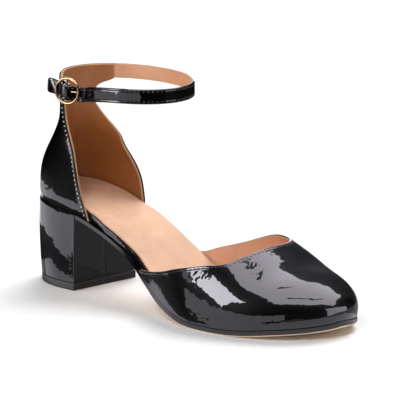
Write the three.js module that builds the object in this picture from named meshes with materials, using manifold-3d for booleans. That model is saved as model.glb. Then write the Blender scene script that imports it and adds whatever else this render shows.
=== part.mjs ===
// A right shoe: a round toe pump with a block heel, an open waist and a buckled ankle strap.
// Millimetres. +X points to the toe, +Y to the inner side of the foot, +Z up.
// The origin is the middle of the heel's floor face.
import * as THREE from 'three';
import { mergeVertices } from 'three/addons/utils/BufferGeometryUtils.js';
import Module from 'manifold-3d';

const wasm = await Module();
wasm.setup();

// Driving dimensions of the last and the sole
const soleLength = 232.8;
const heelSetback = 23.4; // from the middle of the heel's foot to the back of the seat
const seatWidth = 49;
const waistWidth = 45.8;
const ballWidth = 82;
const toeSwing = 8.9; // how far the tip of the toe stands to the inner side
const heelRise = 53.6; // the seat's edge above the floor, at the back
const toeSpring = 6.1;
const crownHeight = 40; // the last above its edge, where the throat ends
const bottomGap = 0.3; // between pieces that meet

// Driving dimensions of the layers
const outsoleThickness = 3;
const outsoleLip = 0.4; // the sole stands out past the upper at the toe
const boardThickness = 3; // under the ball
const seatThickness = 6.2; // under the heel
const sockThickness = 1.2;
const sockInset = 0.8;
const vampWall = 1.8;
const quarterWall = 2.2;

// Driving dimensions of the heel
const heelFootWidth = 50.6;
const heelFootLength = 46;
const topPieceThickness = 4.8;

// Driving dimensions of the ankle strap and the top of the quarter
const loopLength = 90.2;
const loopWidth = 68.6;
const loopForward = 41; // the loop's middle ahead of the heel's middle
const loopInward = 1.7;
const loopTop = 128.2; // the strap's upper edge above the floor
const loopPitch = 2; // the upper edge is this much lower at the front than at the back
const loopRoll = 0.8; // and this much lower on the outer side than on the inner side
const strapHeight = 8.8;
const strapThickness = 1.7;

// Driving dimensions of the buckle
const ringDiameter = 16.4;
const ringWire = 1.6;
const barWire = 1.3;
const prongWire = 1;
const ringForward = 29;
const ringOutward = 34.6;
const ringDrop = 5.9; // the ring's middle below the strap's upper edge
const ringTurn = 19; // degrees that the ring's rear turns outward from the shoe's length
const tailLength = 13.4; // the strap's end behind the ring's middle
const tailRise = 2.6; // and above it
const frontDrop = 1.8; // and below it at the front of the ring
const tabThickness = 0.8;

// The sole's edge from the back of the heel (at 0) to the tip of the toe (at 1).
// half is a share of half the named width, swing a share of the toe's swing.
const edgeRows = [
  { at: 0, half: 0, of: seatWidth, swing: 0 },
  { at: 0.01, half: 0.41, of: seatWidth, swing: 0 },
  { at: 0.03, half: 0.672, of: seatWidth, swing: 0 },
  { at: 0.06, half: 0.866, of: seatWidth, swing: 0 },
  { at: 0.09, half: 0.95, of: seatWidth, swing: 0 },
  { at: 0.13, half: 0.992, of: seatWidth, swing: 0 },
  { at: 0.17, half: 1, of: seatWidth, swing: 0 },
  { at: 0.22, half: 0.985, of: seatWidth, swing: -0.02 },
  { at: 0.29, half: 0.958, of: seatWidth, swing: -0.13 },
  { at: 0.39, half: 1, of: waistWidth, swing: -0.4 },
  { at: 0.49, half: 0.645, of: ballWidth, swing: -0.47 },
  { at: 0.593, half: 0.83, of: ballWidth, swing: -0.35 },
  { at: 0.675, half: 0.971, of: ballWidth, swing: 0 },
  { at: 0.756, half: 1, of: ballWidth, swing: 0.25 },
  { at: 0.838, half: 0.939, of: ballWidth, swing: 0.5 },
  { at: 0.909, half: 0.776, of: ballWidth, swing: 0.74 },
  { at: 0.959, half: 0.551, of: ballWidth, swing: 0.92 },
  { at: 0.985, half: 0.351, of: ballWidth, swing: 0.99 },
  { at: 1, half: 0, of: ballWidth, swing: 1 },
];

// The height of the sole's top: rise is a share of the heel's rise above the flat sole, spring of the toe's.
const heightRows = [
  { at: 0, rise: 1, spring: 0 },
  { at: 0.19, rise: 0.855, spring: 0 },
  { at: 0.3, rise: 0.72, spring: 0 },
  { at: 0.41, rise: 0.528, spring: 0 },
  { at: 0.49, rise: 0.296, spring: 0 },
  { at: 0.545, rise: 0.152, spring: 0 },
  { at: 0.6, rise: 0.066, spring: 0 },
  { at: 0.65, rise: 0.018, spring: 0 },
  { at: 0.7, rise: 0, spring: 0 },
  { at: 0.78, rise: 0, spring: 0 },
  { at: 0.82, rise: 0, spring: 0.08 },
  { at: 0.9, rise: 0, spring: 0.4 },
  { at: 1, rise: 0, spring: 1 },
];

// The last's ridge above the edge, as a share of the crown height, and how far it leans to the inner side.
const crownRows = [
  { at: 0, crown: 2.6, lean: 0 },
  { at: 0.45, crown: 1.85, lean: 0.08 },
  { at: 0.6, crown: 1.56, lean: 0.08 },
  { at: 0.7, crown: 1.28, lean: 0.07 },
  { at: 0.8, crown: 1.0, lean: 0.04 },
  { at: 0.85, crown: 0.815, lean: 0.02 },
  { at: 0.909, crown: 0.66, lean: 0 },
  { at: 0.959, crown: 0.475, lean: 0 },
  { at: 0.985, crown: 0.33, lean: 0 },
  { at: 0.996, crown: 0.2, lean: 0 },
  { at: 1, crown: 0, lean: 0 },
];
const crownFullness = 0.09;
const sideBulge = 0.35;
const toeOverhang = 1.4; // the toe's skin stands this far ahead of the sole's edge
const overhangHeight = 11; // from this height up

// The vamp's top line from its rear ends to the throat's end, as shares of the section's height.
const throatAt = 0.787;
const outerThroatRows = [
  { at: 0.458, up: 0.012 },
  { at: 0.48, up: 0.055 },
  { at: 0.52, up: 0.165 },
  { at: 0.571, up: 0.3 },
  { at: 0.673, up: 0.575 },
  { at: 0.72, up: 0.69 },
  { at: 0.752, up: 0.752 },
  { at: 0.774, up: 0.845 },
  { at: throatAt, up: 1 },
];
const innerThroatRows = [
  { at: 0.442, up: 0.012 },
  { at: 0.465, up: 0.06 },
  { at: 0.512, up: 0.225 },
  { at: 0.596, up: 0.48 },
  { at: 0.677, up: 0.74 },
  { at: 0.73, up: 0.85 },
  { at: 0.768, up: 0.93 },
  { at: throatAt, up: 1 },
];

// The quarter from its edge (up 0) to its top (up 1).
// lean runs from the sole's outline (0) to the strap's loop (1), outer and inner are shares of each wing's length,
// and band runs from the inner wing's edge (0) to the band's end (1).
const quarterRows = [
  { up: 0, lean: 0, outer: 1, inner: 1, band: 0 },
  { up: 0.05, lean: -0.01, outer: 0.965, inner: 1, band: 0 },
  { up: 0.12, lean: 0.01, outer: 0.93, inner: 1, band: 0 },
  { up: 0.2, lean: 0.045, outer: 0.9, inner: 1, band: 0 },
  { up: 0.28, lean: 0.12, outer: 0.89, inner: 1, band: 0 },
  { up: 0.36, lean: 0.255, outer: 0.9, inner: 1.01, band: 0 },
  { up: 0.44, lean: 0.43, outer: 0.93, inner: 1.03, band: 0 },
  { up: 0.52, lean: 0.61, outer: 0.97, inner: 1.08, band: 0 },
  { up: 0.59, lean: 0.75, outer: 0.99, inner: 1.06, band: 0 },
  { up: 0.66, lean: 0.865, outer: 1, inner: 0.93, band: 0 },
  { up: 0.74, lean: 0.95, outer: 1, inner: 0.79, band: 0 },
  { up: 0.82, lean: 0.99, outer: 1, inner: 0.87, band: 0.01 },
  { up: 0.855, lean: 1, outer: 1, inner: 0.97, band: 0.12 },
  { up: 0.873, lean: 1, outer: 1, inner: 1, band: 0.36 },
  { up: 0.882, lean: 1, outer: 1, inner: 1, band: 1 },
  { up: 0.94, lean: 1, outer: 1, inner: 1, band: 1 },
  { up: 1, lean: 1, outer: 1, inner: 1, band: 1 },
];
const outerWingForward = 34.5; // where the outer wing's front edge meets the sole's edge
const innerWingForward = 33.5;
const outerWingTurn = 57; // degrees round the loop from its back
const innerWingTurn = 25;
const innerBandTurn = 41; // the narrow band above the inner wing ends here
const cornerDrop = 2.4; // the outer wing's top falls towards its front

const degrees = Math.PI / 180;

// A smooth curve through the rows of a table that never overshoots them
function smooth(knots, values) {
  const slopes = [];
  const count = knots.length;
  const chord = (i) => (values[i + 1] - values[i]) / (knots[i + 1] - knots[i]);
  for (let i = 0; i < count; i += 1) {
    if (i === 0) slopes.push(chord(0));
    else if (i === count - 1) slopes.push(chord(count - 2));
    else {
      const before = chord(i - 1);
      const after = chord(i);
      const widthBefore = knots[i] - knots[i - 1];
      const widthAfter = knots[i + 1] - knots[i];
      const weightBefore = 2 * widthAfter + widthBefore;
      const weightAfter = widthAfter + 2 * widthBefore;
      const total = weightBefore + weightAfter;
      slopes.push(before * after <= 0 ? 0 : total / (weightBefore / before + weightAfter / after));
    }
  }
  return (where) => {
    const x = Math.min(Math.max(where, knots[0]), knots[count - 1]);
    let i = 0;
    while (i < count - 2 && x > knots[i + 1]) i += 1;
    const width = knots[i + 1] - knots[i];
    const t = (x - knots[i]) / width;
    const rise = values[i + 1] - values[i];
    const a = slopes[i] * width - rise;
    const b = rise - slopes[i + 1] * width;
    return values[i] + t * rise + t * (1 - t) * (a * (1 - t) + b * t);
  };
}

// Rows along the sole are joined over an angle, so that both ends of the outline come out round
const turnAt = (at) => Math.acos(1 - 2 * Math.min(Math.max(at, 0), 1));
function along(rows, value) {
  const curve = smooth(rows.map((row) => turnAt(row.at)), rows.map(value));
  return (at) => curve(turnAt(at));
}

const backX = -heelSetback;
const xAt = (at) => backX + at * soleLength;
const shareAt = (x) => (x - backX) / soleLength;
const halfAt = along(edgeRows, (row) => row.half * row.of / 2);
const middleAt = along(edgeRows, (row) => row.swing * toeSwing);
const riseAt = along(heightRows, (row) => row.rise);
const springAt = along(heightRows, (row) => row.spring);
const crownAt = along(crownRows, (row) => row.crown * crownHeight);
const leanAt = along(crownRows, (row) => row.lean);
const edgeHeight = (at) => (
  outsoleThickness + riseAt(at) * (heelRise - outsoleThickness) + springAt(at) * toeSpring
);

// A layer's height is measured square to the sole, so a sloping sole lifts it further
const slopeStep = 0.01;
function liftAt(at, thickness) {
  const low = Math.max(at - slopeStep, 0);
  const high = Math.min(at + slopeStep, 1);
  const slope = (edgeHeight(high) - edgeHeight(low)) / (xAt(high) - xAt(low));
  return edgeHeight(at) + thickness * Math.hypot(1, slope);
}

// A point of the last's skin. turn is 0 at the outer edge, 90 degrees at the ridge, 180 at the inner edge
function lastPoint(at, turn) {
  const across = Math.cos(turn);
  const up = Math.sin(turn);
  const side = across * (1 + crownFullness * up * up) + sideBulge * up * up * across ** 3;
  const height = up * (1 + crownFullness * across * across);
  const half = halfAt(at);
  const y = middleAt(at) - half * side + half * leanAt(at) * height * height;
  const above = crownAt(at) * height;
  const risen = clamp01(above / overhangHeight);
  const x = xAt(at) + toeOverhang * easeInOut(4 * at - 3) * risen * (2 - risen);
  return new THREE.Vector3(x, y, edgeHeight(at) + bottomGap + above);
}

// The turn at which a section reaches a share of its height
function turnForShare(share) {
  let low = 0;
  let high = Math.PI / 2;
  for (let i = 0; i < 40; i += 1) {
    const turn = (low + high) / 2;
    const height = Math.sin(turn) * (1 + crownFullness * Math.cos(turn) ** 2);
    if (height < share) low = turn;
    else high = turn;
  }
  return (low + high) / 2;
}

// A closed solid from corners and faces, with its faces turned outward
function solidGeometry(points, faces) {
  let volume = 0;
  for (const [a, b, c] of faces) {
    volume += points[a].dot(new THREE.Vector3().crossVectors(points[b], points[c]));
  }
  const index = faces.flatMap(([a, b, c]) => (volume > 0 ? [a, b, c] : [a, c, b]));
  const geometry = new THREE.BufferGeometry();
  const numbers = points.flatMap((point) => [point.x, point.y, point.z]);
  geometry.setAttribute('position', new THREE.Float32BufferAttribute(numbers, 3));
  geometry.setIndex(index);
  return geometry;
}

// Two faces for a four-sided patch
const patch = (a, b, c, d) => [[a, b, c], [a, c, d]];

// A shell of even wall inside a grid of outer points: rows run along the piece, columns from foot to top
function shellGeometry(rows, wall, footHeight) {
  const count = rows.length;
  const depth = rows[0].length;
  const inner = rows.map((row, i) => row.map((point, j) => {
    const before = rows[Math.max(i - 1, 0)][j];
    const after = rows[Math.min(i + 1, count - 1)][j];
    const below = row[Math.max(j - 1, 0)];
    const above = row[Math.min(j + 1, depth - 1)];
    const lengthwise = new THREE.Vector3().subVectors(after, before);
    const upward = new THREE.Vector3().subVectors(above, below);
    if (j === 0) upward.set(0, 0, 1);
    const normal = new THREE.Vector3().crossVectors(lengthwise, upward).normalize();
    const moved = new THREE.Vector3().copy(point).addScaledVector(normal, -wall);
    if (j === 0) moved.z = footHeight(moved.x);
    return moved;
  }));
  const points = [...rows.flat(), ...inner.flat()];
  const outer = (i, j) => i * depth + j;
  const inside = (i, j) => count * depth + i * depth + j;
  const faces = [];
  for (let i = 0; i < count - 1; i += 1) {
    for (let j = 0; j < depth - 1; j += 1) {
      faces.push(...patch(outer(i, j), outer(i + 1, j), outer(i + 1, j + 1), outer(i, j + 1)));
      faces.push(...patch(inside(i, j), inside(i, j + 1), inside(i + 1, j + 1), inside(i + 1, j)));
    }
    faces.push(...patch(outer(i, 0), inside(i, 0), inside(i + 1, 0), outer(i + 1, 0)));
    const top = depth - 1;
    faces.push(...patch(outer(i, top), outer(i + 1, top), inside(i + 1, top), inside(i, top)));
  }
  for (let j = 0; j < depth - 1; j += 1) {
    const end = count - 1;
    faces.push(...patch(outer(0, j), outer(0, j + 1), inside(0, j + 1), inside(0, j)));
    faces.push(...patch(outer(end, j), inside(end, j), inside(end, j + 1), outer(end, j + 1)));
  }
  return solidGeometry(points, faces);
}

// A stack of rings. Each runs from the front along the outer side to the back, and along the inner side again.
// A ring may start at a single tip, and may have a single point at the back.
function stackGeometry(rings, { tip, heel }) {
  const count = rings[0].length;
  const points = rings.flat();
  const faces = [];
  for (let level = 0; level < rings.length - 1; level += 1) {
    for (let i = 0; i < count; i += 1) {
      const next = (i + 1) % count;
      const low = level * count;
      const high = low + count;
      faces.push(...patch(low + i, low + next, high + next, high + i));
    }
  }
  const caps = [];
  const across = (i) => (tip ? count - i : count - 1 - i);
  const first = tip ? 1 : 0;
  if (tip) caps.push([0, count - 1, 1]);
  const pairs = Math.floor((count - (tip ? 1 : 0) - (heel ? 1 : 0)) / 2);
  for (let i = first; i < first + pairs - 1; i += 1) caps.push(...patch(i, across(i), across(i) - 1, i + 1));
  const end = first + pairs - 1;
  if (heel) caps.push([end, across(end), end + 1]);
  const top = (rings.length - 1) * count;
  for (const [a, b, c] of caps) faces.push([a, b, c], [top + a, top + c, top + b]);
  return solidGeometry(points, faces);
}

// A flat bar swept along a path, standing on its narrow edge
function barGeometry(path, height, thickness) {
  const points = [];
  const faces = [];
  path.forEach((place, i) => {
    const before = path[Math.max(i - 1, 0)];
    const after = path[Math.min(i + 1, path.length - 1)];
    const forward = new THREE.Vector3().subVectors(after, before).setZ(0).normalize();
    const outward = new THREE.Vector3(forward.y, -forward.x, 0);
    for (const [out, up] of [[1, -1], [1, 1], [-1, 1], [-1, -1]]) {
      const corner = place.clone().addScaledVector(outward, out * thickness / 2);
      corner.z += up * height / 2;
      points.push(corner);
    }
  });
  const last = (path.length - 1) * 4;
  for (let i = 0; i < last; i += 4) {
    for (let side = 0; side < 4; side += 1) {
      const next = (side + 1) % 4;
      faces.push(...patch(i + side, i + 4 + side, i + 4 + next, i + next));
    }
  }
  faces.push(...patch(0, 1, 2, 3), ...patch(last, last + 3, last + 2, last + 1));
  return solidGeometry(points, faces);
}

// A list of count items made from an index and a share that runs from 0 to 1
const range = (count, make) => Array.from({ length: count }, (_, i) => make(i, i / (count - 1)));
const mix = (a, b, share) => a + (b - a) * share;
const clamp01 = (value) => Math.min(Math.max(value, 0), 1);
const easeInOut = (share) => clamp01(share) ** 2 * (3 - 2 * clamp01(share));

// Places at even steps along a dense line of points, as fractional positions in that line
function evenPlaces(line, count) {
  const run = [0];
  for (let i = 1; i < line.length; i += 1) run.push(run[i - 1] + line[i].distanceTo(line[i - 1]));
  const total = run[run.length - 1];
  return range(count, (_, share) => {
    const wanted = total * share;
    let i = 0;
    while (i < line.length - 2 && run[i + 1] < wanted) i += 1;
    return i + clamp01((wanted - run[i]) / (run[i + 1] - run[i]));
  });
}
function readAt(list, place) {
  const low = Math.min(Math.floor(place), list.length - 2);
  return mix(list[low], list[low + 1], place - low);
}

// Solids that are joined or cut
function toSolid(geometry) {
  const bare = geometry.clone();
  for (const name of Object.keys(bare.attributes)) if (name !== 'position') bare.deleteAttribute(name);
  const merged = mergeVertices(bare, 1e-4);
  return new wasm.Manifold(new wasm.Mesh({
    numProp: 3,
    vertProperties: new Float32Array(merged.attributes.position.array),
    triVerts: new Uint32Array(merged.index.array),
  }));
}
function fromSolid(solid) {
  const mesh = solid.getMesh();
  const geometry = new THREE.BufferGeometry();
  geometry.setAttribute('position', new THREE.Float32BufferAttribute(mesh.vertProperties, 3));
  geometry.setIndex([...mesh.triVerts]);
  return geometry;
}

const group = new THREE.Group();
function addPiece(name, geometry, material) {
  const mesh = new THREE.Mesh(geometry, material);
  mesh.name = name;
  group.add(mesh);
}
const finish = (color, roughness, metalness = 0) => (
  new THREE.MeshStandardMaterial({ color, roughness, metalness })
);
const patent = finish(0x0b0b0d, 0.08);
const naturalLeather = finish(0xc9996b, 0.6);
const sockLeather = finish(0xf0c4a2, 0.55);
const roseGold = finish(0xd9ab83, 0.25, 1);
const rubber = finish(0x1b1a1a, 0.7);

// Vamp: a grid between the sole's edge and the throat, on the last's skin.
// Both lines are charted as seen from the front, where the tip of the toe is an ordinary point.
const chart = (at, turn) => [Math.sqrt(1 - at) * Math.cos(turn), Math.sqrt(1 - at) * Math.sin(turn)];
const fromChart = (across, up) => lastPoint(1 - across ** 2 - up ** 2, Math.atan2(up, across));
const denseSteps = 160;
const vampColumns = 10;
const vampRows = 68;
function vampGrid() {
  const outerRear = outerThroatRows[0].at;
  const innerRear = innerThroatRows[0].at;
  const edge = range(denseSteps, (_, share) => [
    mix(Math.sqrt(1 - outerRear), -Math.sqrt(1 - innerRear), share),
    0,
  ]);
  const side = (rows, rear, sign) => {
    const up = along(rows, (row) => row.up);
    return range(denseSteps, (_, share) => {
      const at = mix(rear, throatAt, Math.sin(share * Math.PI / 2));
      const turn = turnForShare(up(at));
      return chart(at, sign > 0 ? turn : Math.PI - turn);
    });
  };
  const outer = side(outerThroatRows, outerRear, 1);
  const inner = side(innerThroatRows, innerRear, -1).reverse();
  const throat = [...outer, ...inner.slice(1)];
  const spread = (line) => {
    const places = evenPlaces(line.map(([across, up]) => fromChart(across, up)), vampRows);
    return places.map((place) => [0, 1].map((axis) => readAt(line.map((point) => point[axis]), place)));
  };
  const low = spread(edge);
  const high = spread(throat);
  return low.map(([across, up], i) => range(vampColumns, (_, share) => (
    fromChart(mix(across, high[i][0], share), mix(up, high[i][1], share))
  )));
}
const footHeight = (x) => edgeHeight(shareAt(x)) + bottomGap;
addPiece('vamp', shellGeometry(vampGrid(), vampWall, footHeight), patent);

// Loop of the ankle strap, seen from above. turn is 0 at the back and grows towards the inner side
function loopPoint(turn, inset) {
  const x = loopForward - (loopLength / 2 - inset) * Math.cos(turn);
  const y = loopInward + (loopWidth / 2 - inset) * Math.sin(turn);
  return new THREE.Vector3(x, y, loopTop + (loopPitch * Math.cos(turn) + loopRoll * Math.sin(turn)) / 2);
}

// Quarter: a grid between the sole's edge and the loop, from the inner wing round the back to the outer wing
const quarterGridRows = 54;
function outlineRun(sign, forward) {
  const line = range(denseSteps, (_, share) => {
    const at = shareAt(mix(backX, forward, 1 - Math.cos(share * Math.PI / 2)));
    return new THREE.Vector3(xAt(at), middleAt(at) + sign * halfAt(at), edgeHeight(at) + bottomGap);
  });
  const places = evenPlaces(line, denseSteps);
  return (share) => {
    const place = readAt(places, share * (denseSteps - 1));
    return new THREE.Vector3(...['x', 'y', 'z'].map((axis) => readAt(line.map((point) => point[axis]), place)));
  };
}
const bandSpan = innerBandTurn / innerWingTurn;
const innerRun = outlineRun(1, innerWingForward);
const outerRun = outlineRun(-1, outerWingForward);
function quarterGrid() {
  return range(quarterGridRows, (_, share) => {
    const side = 1 - 2 * share;
    return quarterRows.map((row) => {
      const low = side > 0 ? innerRun(side * row.inner) : outerRun(-side * row.outer);
      const innerTurn = mix(row.inner, bandSpan, row.band) * innerWingTurn;
      const turn = side * (side > 0 ? innerTurn : row.outer * outerWingTurn);
      const high = loopPoint(turn * degrees, 0);
      if (side < 0) high.z -= cornerDrop * easeInOut(-side * 2 - 1);
      const point = low.clone().lerp(high, row.lean);
      point.z = mix(low.z, high.z, row.up);
      return point;
    });
  });
}
addPiece('quarter', shellGeometry(quarterGrid(), quarterWall, footHeight), patent);

// A point of the sole's outline, set in square to the edge
const turnStep = 0.02;
function outlinePoint(at, sign, inset) {
  const place = (turn) => {
    const share = (1 - Math.cos(turn)) / 2;
    return new THREE.Vector3(xAt(share), middleAt(share) + sign * halfAt(share), 0);
  };
  const turn = turnAt(at);
  const run = place(Math.min(turn + turnStep, Math.PI)).sub(place(Math.max(turn - turnStep, 0))).normalize();
  return place(turn).add(new THREE.Vector3(run.y, -run.x, 0).multiplyScalar(sign * inset));
}

// A ring of a flat layer between two places along the sole. height gives its height from x
function layerRing(from, to, inset, height, stations) {
  const roundHeel = from === 0;
  const roundToe = to === 1;
  const places = range(stations, (_, share) => {
    let spaced = share;
    if (roundHeel && roundToe) spaced = (1 - Math.cos(Math.PI * share)) / 2;
    else if (roundHeel) spaced = 1 - Math.cos(share * Math.PI / 2);
    else if (roundToe) spaced = Math.sin(share * Math.PI / 2);
    return mix(from, to, spaced);
  });
  const side = (sign) => places.map((at) => outlinePoint(at, sign, inset(xAt(at), sign)));
  const outer = side(-1).reverse();
  const inner = side(1);
  const ring = [...outer, ...(roundHeel ? inner.slice(1) : inner)];
  if (roundToe) ring.pop();
  for (const point of ring) point.z = height(point.x);
  return ring;
}

// Heel: a block whose top follows the seat and whose foot is flat, and the top piece under it
const breastX = heelFootLength / 2;
const heelStations = 20;
const heelLevels = 5;
const footCurveShare = 0.72; // the round part of the heel's foot, as a share of its length
function footRing(height) {
  const curve = heelFootLength * footCurveShare;
  const side = (sign) => range(heelStations, (_, share) => {
    const fromBack = heelFootLength * (1 - Math.cos(share * Math.PI / 2));
    const square = clamp01(1 - fromBack / curve);
    const half = heelFootWidth / 2 * Math.sqrt(1 - square * square);
    return new THREE.Vector3(fromBack - breastX, sign * half, height);
  });
  return [...side(-1).reverse(), ...side(1).slice(1)];
}
const seatTop = layerRing(0, shareAt(breastX), () => 0, (x) => edgeHeight(shareAt(x)), heelStations);
const heelFoot = footRing(topPieceThickness);
const heelRings = range(heelLevels, (_, share) => (
  heelFoot.map((point, i) => point.clone().lerp(seatTop[i], share))
));
addPiece('heel_block', stackGeometry(heelRings, { tip: false, heel: true }), patent);
const topPieceRings = [footRing(0), footRing(topPieceThickness - bottomGap)];
addPiece('top_piece', stackGeometry(topPieceRings, { tip: false, heel: true }), rubber);

// Outsole: it starts at the heel's breast, thin and narrow, and stands out a little past the upper at the toe
const outsoleRows = [
  { at: 0.2, thick: 0.7, out: -1.4 },
  { at: 0.42, thick: 0.75, out: -1 },
  { at: 0.55, thick: 0.95, out: 0 },
  { at: 0.65, thick: 1, out: 0.6 },
  { at: 0.8, thick: 1, out: 1 },
  { at: 1, thick: 1, out: 1.2 },
];
const soleThickAt = along(outsoleRows, (row) => row.thick * outsoleThickness);
const soleOutAt = along(outsoleRows, (row) => row.out * outsoleLip);
const outsoleStations = 46;
const soleStart = shareAt(breastX + bottomGap);
const soleOut = (x) => -soleOutAt(shareAt(x));
const soleBottom = (x) => liftAt(shareAt(x), -soleThickAt(shareAt(x)));
const soleRings = [soleBottom, (x) => liftAt(shareAt(x), 0)].map((height) => (
  layerRing(soleStart, 1, soleOut, height, outsoleStations)
));
addPiece('outsole', stackGeometry(soleRings, { tip: true, heel: false }), naturalLeather);

// Insole board and sock: inside the walls at both ends, and out to the edge at the open waist
const waistInset = 0.8;
const waistFade = 14;
const fadeStart = 1;
const boardStations = 72;
const wallClearance = 0.45;
function boardInset(x, sign) {
  const wing = sign < 0 ? outerWingForward : innerWingForward;
  const rear = xAt((sign < 0 ? outerThroatRows : innerThroatRows)[0].at);
  const open = easeInOut((x - wing - fadeStart) / waistFade) * easeInOut((rear - fadeStart - x) / waistFade);
  const wall = x < mix(wing, rear, 0.5) ? quarterWall : vampWall;
  return mix(wall + wallClearance, waistInset, open);
}
const boardRows = [
  { at: 0, thick: seatThickness },
  { at: 0.12, thick: mix(boardThickness, seatThickness, 0.85) },
  { at: 0.25, thick: mix(boardThickness, seatThickness, 0.4) },
  { at: 0.45, thick: mix(boardThickness, seatThickness, 0.25) },
  { at: 0.6, thick: boardThickness },
  { at: 1, thick: boardThickness },
];
const boardThickAt = along(boardRows, (row) => row.thick);
const boardLift = (above) => (x) => liftAt(shareAt(x), bottomGap + boardThickAt(shareAt(x)) + above);
const boardLow = (x) => liftAt(shareAt(x), bottomGap);
const boardRings = [boardLow, boardLift(0)].map((height) => layerRing(0, 1, boardInset, height, boardStations));
addPiece('insole_board', stackGeometry(boardRings, { tip: true, heel: true }), patent);
const sockEdge = (x, sign) => boardInset(x, sign) + sockInset;
const sockRings = [bottomGap, bottomGap + sockThickness].map((above) => (
  layerRing(0, 1, sockEdge, boardLift(above), boardStations)
));
addPiece('sock', stackGeometry(sockRings, { tip: true, heel: true }), sockLeather);

// Buckle: a round frame with a bar across it. behind runs to the heel along the frame, out away from the foot
const ringHeight = loopTop - ringDrop;
const ringMiddle = new THREE.Vector3(ringForward, -ringOutward, ringHeight);
const behind = new THREE.Vector3(-Math.cos(ringTurn * degrees), -Math.sin(ringTurn * degrees), 0);
const outOf = new THREE.Vector3(-behind.y, behind.x, 0);
const atBuckle = (back, out, up = 0) => (
  ringMiddle.clone().addScaledVector(behind, back).addScaledVector(outOf, out).add(new THREE.Vector3(0, 0, up))
);
const frameRadius = (ringDiameter - ringWire) / 2;
const frameSides = 10;
const frameSteps = 40;
function placeFrame(geometry) {
  const inOf = outOf.clone().negate();
  geometry.applyMatrix4(new THREE.Matrix4().makeBasis(behind, new THREE.Vector3(0, 0, 1), inOf));
  geometry.translate(...ringMiddle.toArray());
}
const frame = new THREE.TorusGeometry(frameRadius, ringWire / 2, frameSides, frameSteps);
placeFrame(frame);
const barSides = 14;
const bar = new THREE.CylinderGeometry(barWire / 2, barWire / 2, 2 * frameRadius, barSides);
bar.rotateX(Math.PI / 2);
bar.translate(...ringMiddle.toArray());
addPiece('buckle_ring', fromSolid(toSolid(frame).add(toSolid(bar))), roseGold);

// Prong: an eye round the bar and a shank that rests on the front of the frame
const eyeRadius = barWire / 2 + bottomGap + prongWire / 2;
const eye = new THREE.TorusGeometry(eyeRadius, prongWire / 2, 8, 20);
eye.translate(...ringMiddle.toArray());
const prongLength = frameRadius + 1.2;
const prongOut = ringWire / 2 + bottomGap + prongWire / 2;
const rodSides = 10;
function rod(from, to, radius) {
  const axis = new THREE.Vector3().subVectors(to, from);
  const geometry = new THREE.CylinderGeometry(radius, radius, axis.length(), rodSides);
  const turn = new THREE.Quaternion().setFromUnitVectors(new THREE.Vector3(0, 1, 0), axis.normalize());
  geometry.applyQuaternion(turn);
  const middle = new THREE.Vector3().addVectors(from, to).multiplyScalar(0.5);
  geometry.translate(...middle.toArray());
  return geometry;
}
const prongFoot = atBuckle(-0.2, eyeRadius);
const prongTip = atBuckle(-prongLength, prongOut);
const shank = rod(prongFoot, prongTip, prongWire / 2);
addPiece('buckle_prong', fromSolid(toSolid(eye).add(toSolid(shank))), roseGold);

// Tab: a folded strip from the outer wing's front edge round the bar, with a slot for the prong's eye
const tabInner = barWire / 2 + bottomGap;
const tabOuter = tabInner + tabThickness;
const tabHeight = strapHeight - 0.6;
const wingEdge = loopPoint(-outerWingTurn * degrees, quarterWall / 2);
const wingForward = new THREE.Vector3().subVectors(
  loopPoint(-(outerWingTurn + 1) * degrees, quarterWall / 2),
  wingEdge,
).setZ(0).normalize();
const tabStart = wingEdge.clone().addScaledVector(wingForward, 2 * bottomGap).setZ(ringHeight);
const tabEnd = atBuckle(tabInner + tabThickness / 2, -tabThickness);
const tabRoute = new THREE.CatmullRomCurve3([
  tabStart,
  tabStart.clone().addScaledVector(wingForward, 3),
  tabStart.clone().lerp(tabEnd, 0.6),
  tabEnd,
]);
const tabStrip = barGeometry(tabRoute.getSpacedPoints(12), tabHeight, 2 * tabThickness);
const circle = new THREE.Shape().absarc(0, 0, tabOuter, 0, 2 * Math.PI);
circle.holes.push(new THREE.Path().absarc(0, 0, tabInner, 0, 2 * Math.PI, true));
const tabLoop = new THREE.ExtrudeGeometry(circle, { depth: tabHeight, bevelEnabled: false, curveSegments: 12 });
tabLoop.translate(ringMiddle.x, ringMiddle.y, ringHeight - tabHeight / 2);
const slotHalf = eyeRadius + prongWire / 2 + bottomGap;
const slot = new THREE.BoxGeometry(2 * slotHalf, 2 * slotHalf, prongWire + 2 * bottomGap);
slot.rotateZ(ringTurn * degrees);
slot.translate(...ringMiddle.toArray());
const barHole = rod(atBuckle(0, 0, -tabHeight), atBuckle(0, 0, tabHeight), tabInner);
const tab = toSolid(tabStrip).add(toSolid(tabLoop)).subtract(toSolid(slot)).subtract(toSolid(barHole));
addPiece('buckle_tab', fromSolid(tab), patent);

// Strap: it starts at the inner band's end, runs round the loop and passes the buckle over its bar
const strapIn = strapThickness / 2;
const underRim = ringWire / 2 + bottomGap + strapIn;
const overBar = eyeRadius + prongWire / 2 + bottomGap + strapIn;
const loopEndTurn = 254;
const loopSteps = 22;
const startTurn = innerBandTurn + bottomGap / (loopWidth / 2) / degrees;
const loopKnots = range(loopSteps, (_, share) => {
  const knot = loopPoint(mix(startTurn, loopEndTurn, share) * degrees, strapIn);
  knot.z -= strapHeight / 2 + 0.4 * frontDrop * easeInOut((share - 0.85) / 0.15);
  return knot;
});
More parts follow.
